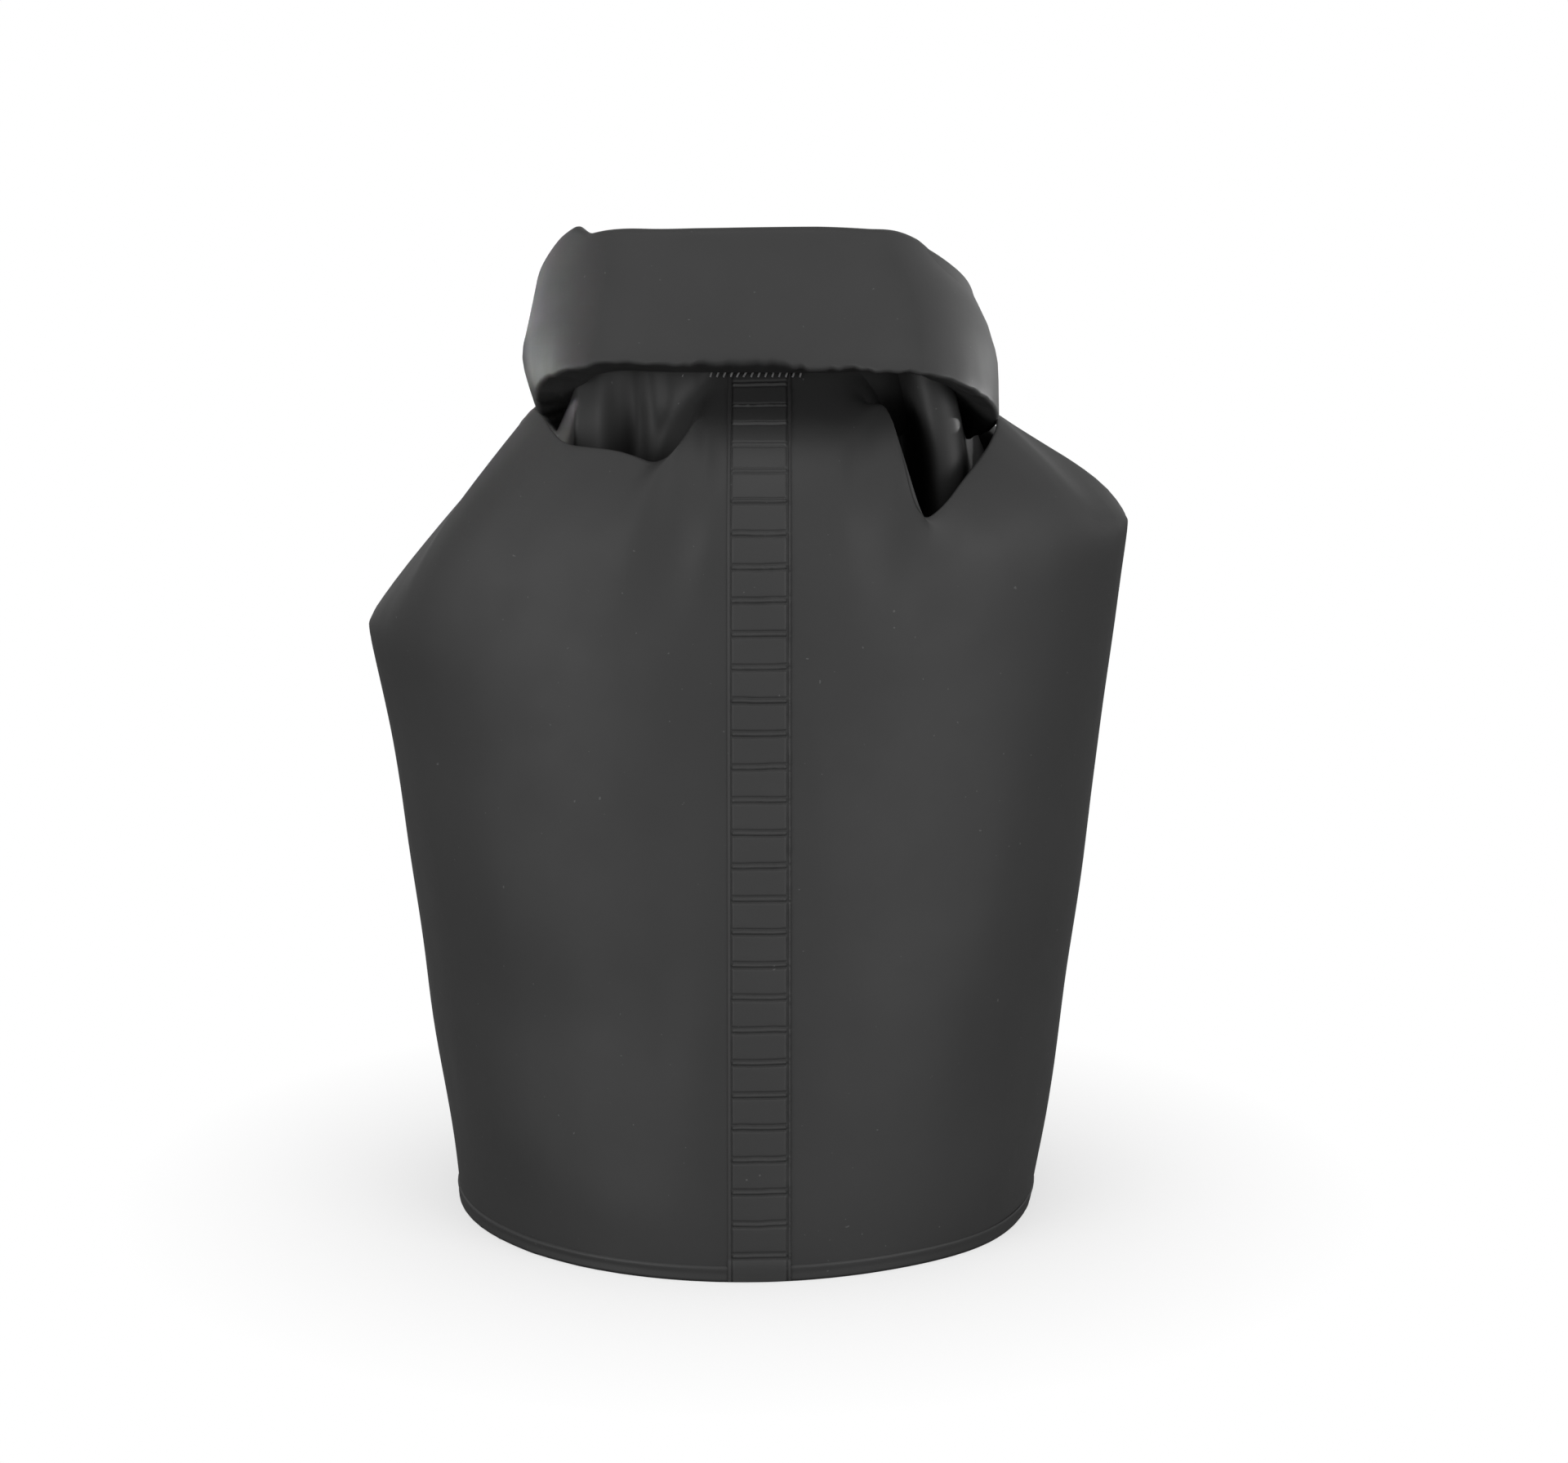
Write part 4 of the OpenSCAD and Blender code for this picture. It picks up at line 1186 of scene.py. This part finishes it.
def floor_finish():
    """Matt white that bounces part of its light; far out, the camera sees it as plain white."""
    made = bpy.data.materials.new("floor")
    made.use_nodes = True
    tree = made.node_tree
    tree.nodes.remove(tree.nodes["Principled BSDF"])
    seen = node(tree, "ShaderNodeBsdfDiffuse", Color=(0.97, 0.97, 0.97, 1))
    bounced = node(tree, "ShaderNodeBsdfDiffuse", Color=(FLOOR_BOUNCE,) * 3 + (1,))
    matt = mix_shaders(tree, camera_ray(tree), bounced.outputs["BSDF"], seen.outputs["BSDF"])
    far = tree.nodes.new("ShaderNodeVectorMath")
    far.operation = "LENGTH"
    tree.links.new(place(tree), far.inputs[0])
    fade = node(
        tree, "ShaderNodeMapRange", From_Min=FLOOR_FADE_M[0], From_Max=FLOOR_FADE_M[1], To_Min=FLOOR_WHITE
    )
    tree.links.new(far.outputs["Value"], fade.inputs["Value"])
    white = node(tree, "ShaderNodeEmission", Color=(1, 1, 1, 1), Strength=1.0)
    share = math_node(tree, "MULTIPLY", fade.outputs["Result"], camera_ray(tree))
    floor = mix_shaders(tree, share, matt, white.outputs["Emission"])
    tree.links.new(floor, tree.nodes["Material Output"].inputs["Surface"])
    return made


def build_floor():
    mesh = bpy.data.meshes.new("floor")
    w = FLOOR_HALF_M
    mesh.from_pydata([(-w, -w, 0), (w, -w, 0), (w, w, 0), (-w, w, 0)], [], [(0, 1, 2, 3)])
    mesh.materials.append(floor_finish())
    floor = bpy.data.objects.new("floor", mesh)
    bpy.context.scene.collection.objects.link(floor)


def build_camera():
    """Camera that looks at the seam's side from a little above."""
    forward = np.array([0, math.cos(CAMERA_ELEVATION), -math.sin(CAMERA_ELEVATION)])
    data = bpy.data.cameras.new("camera")
    data.sensor_width = SENSOR_MM
    data.lens = LENS_MM
    camera = bpy.data.objects.new("camera", data)
    bpy.context.scene.collection.objects.link(camera)
    camera.location = np.array(CAMERA_AIM_M) - forward * CAMERA_DISTANCE_M
    camera.rotation_euler = (math.radians(90) - CAMERA_ELEVATION, 0, 0)
    bpy.context.scene.camera = camera


build_world()
build_floor()
for light in LIGHTS:
    area_light(*light)
build_camera()
bpy.context.scene.view_settings.view_transform = "Standard"
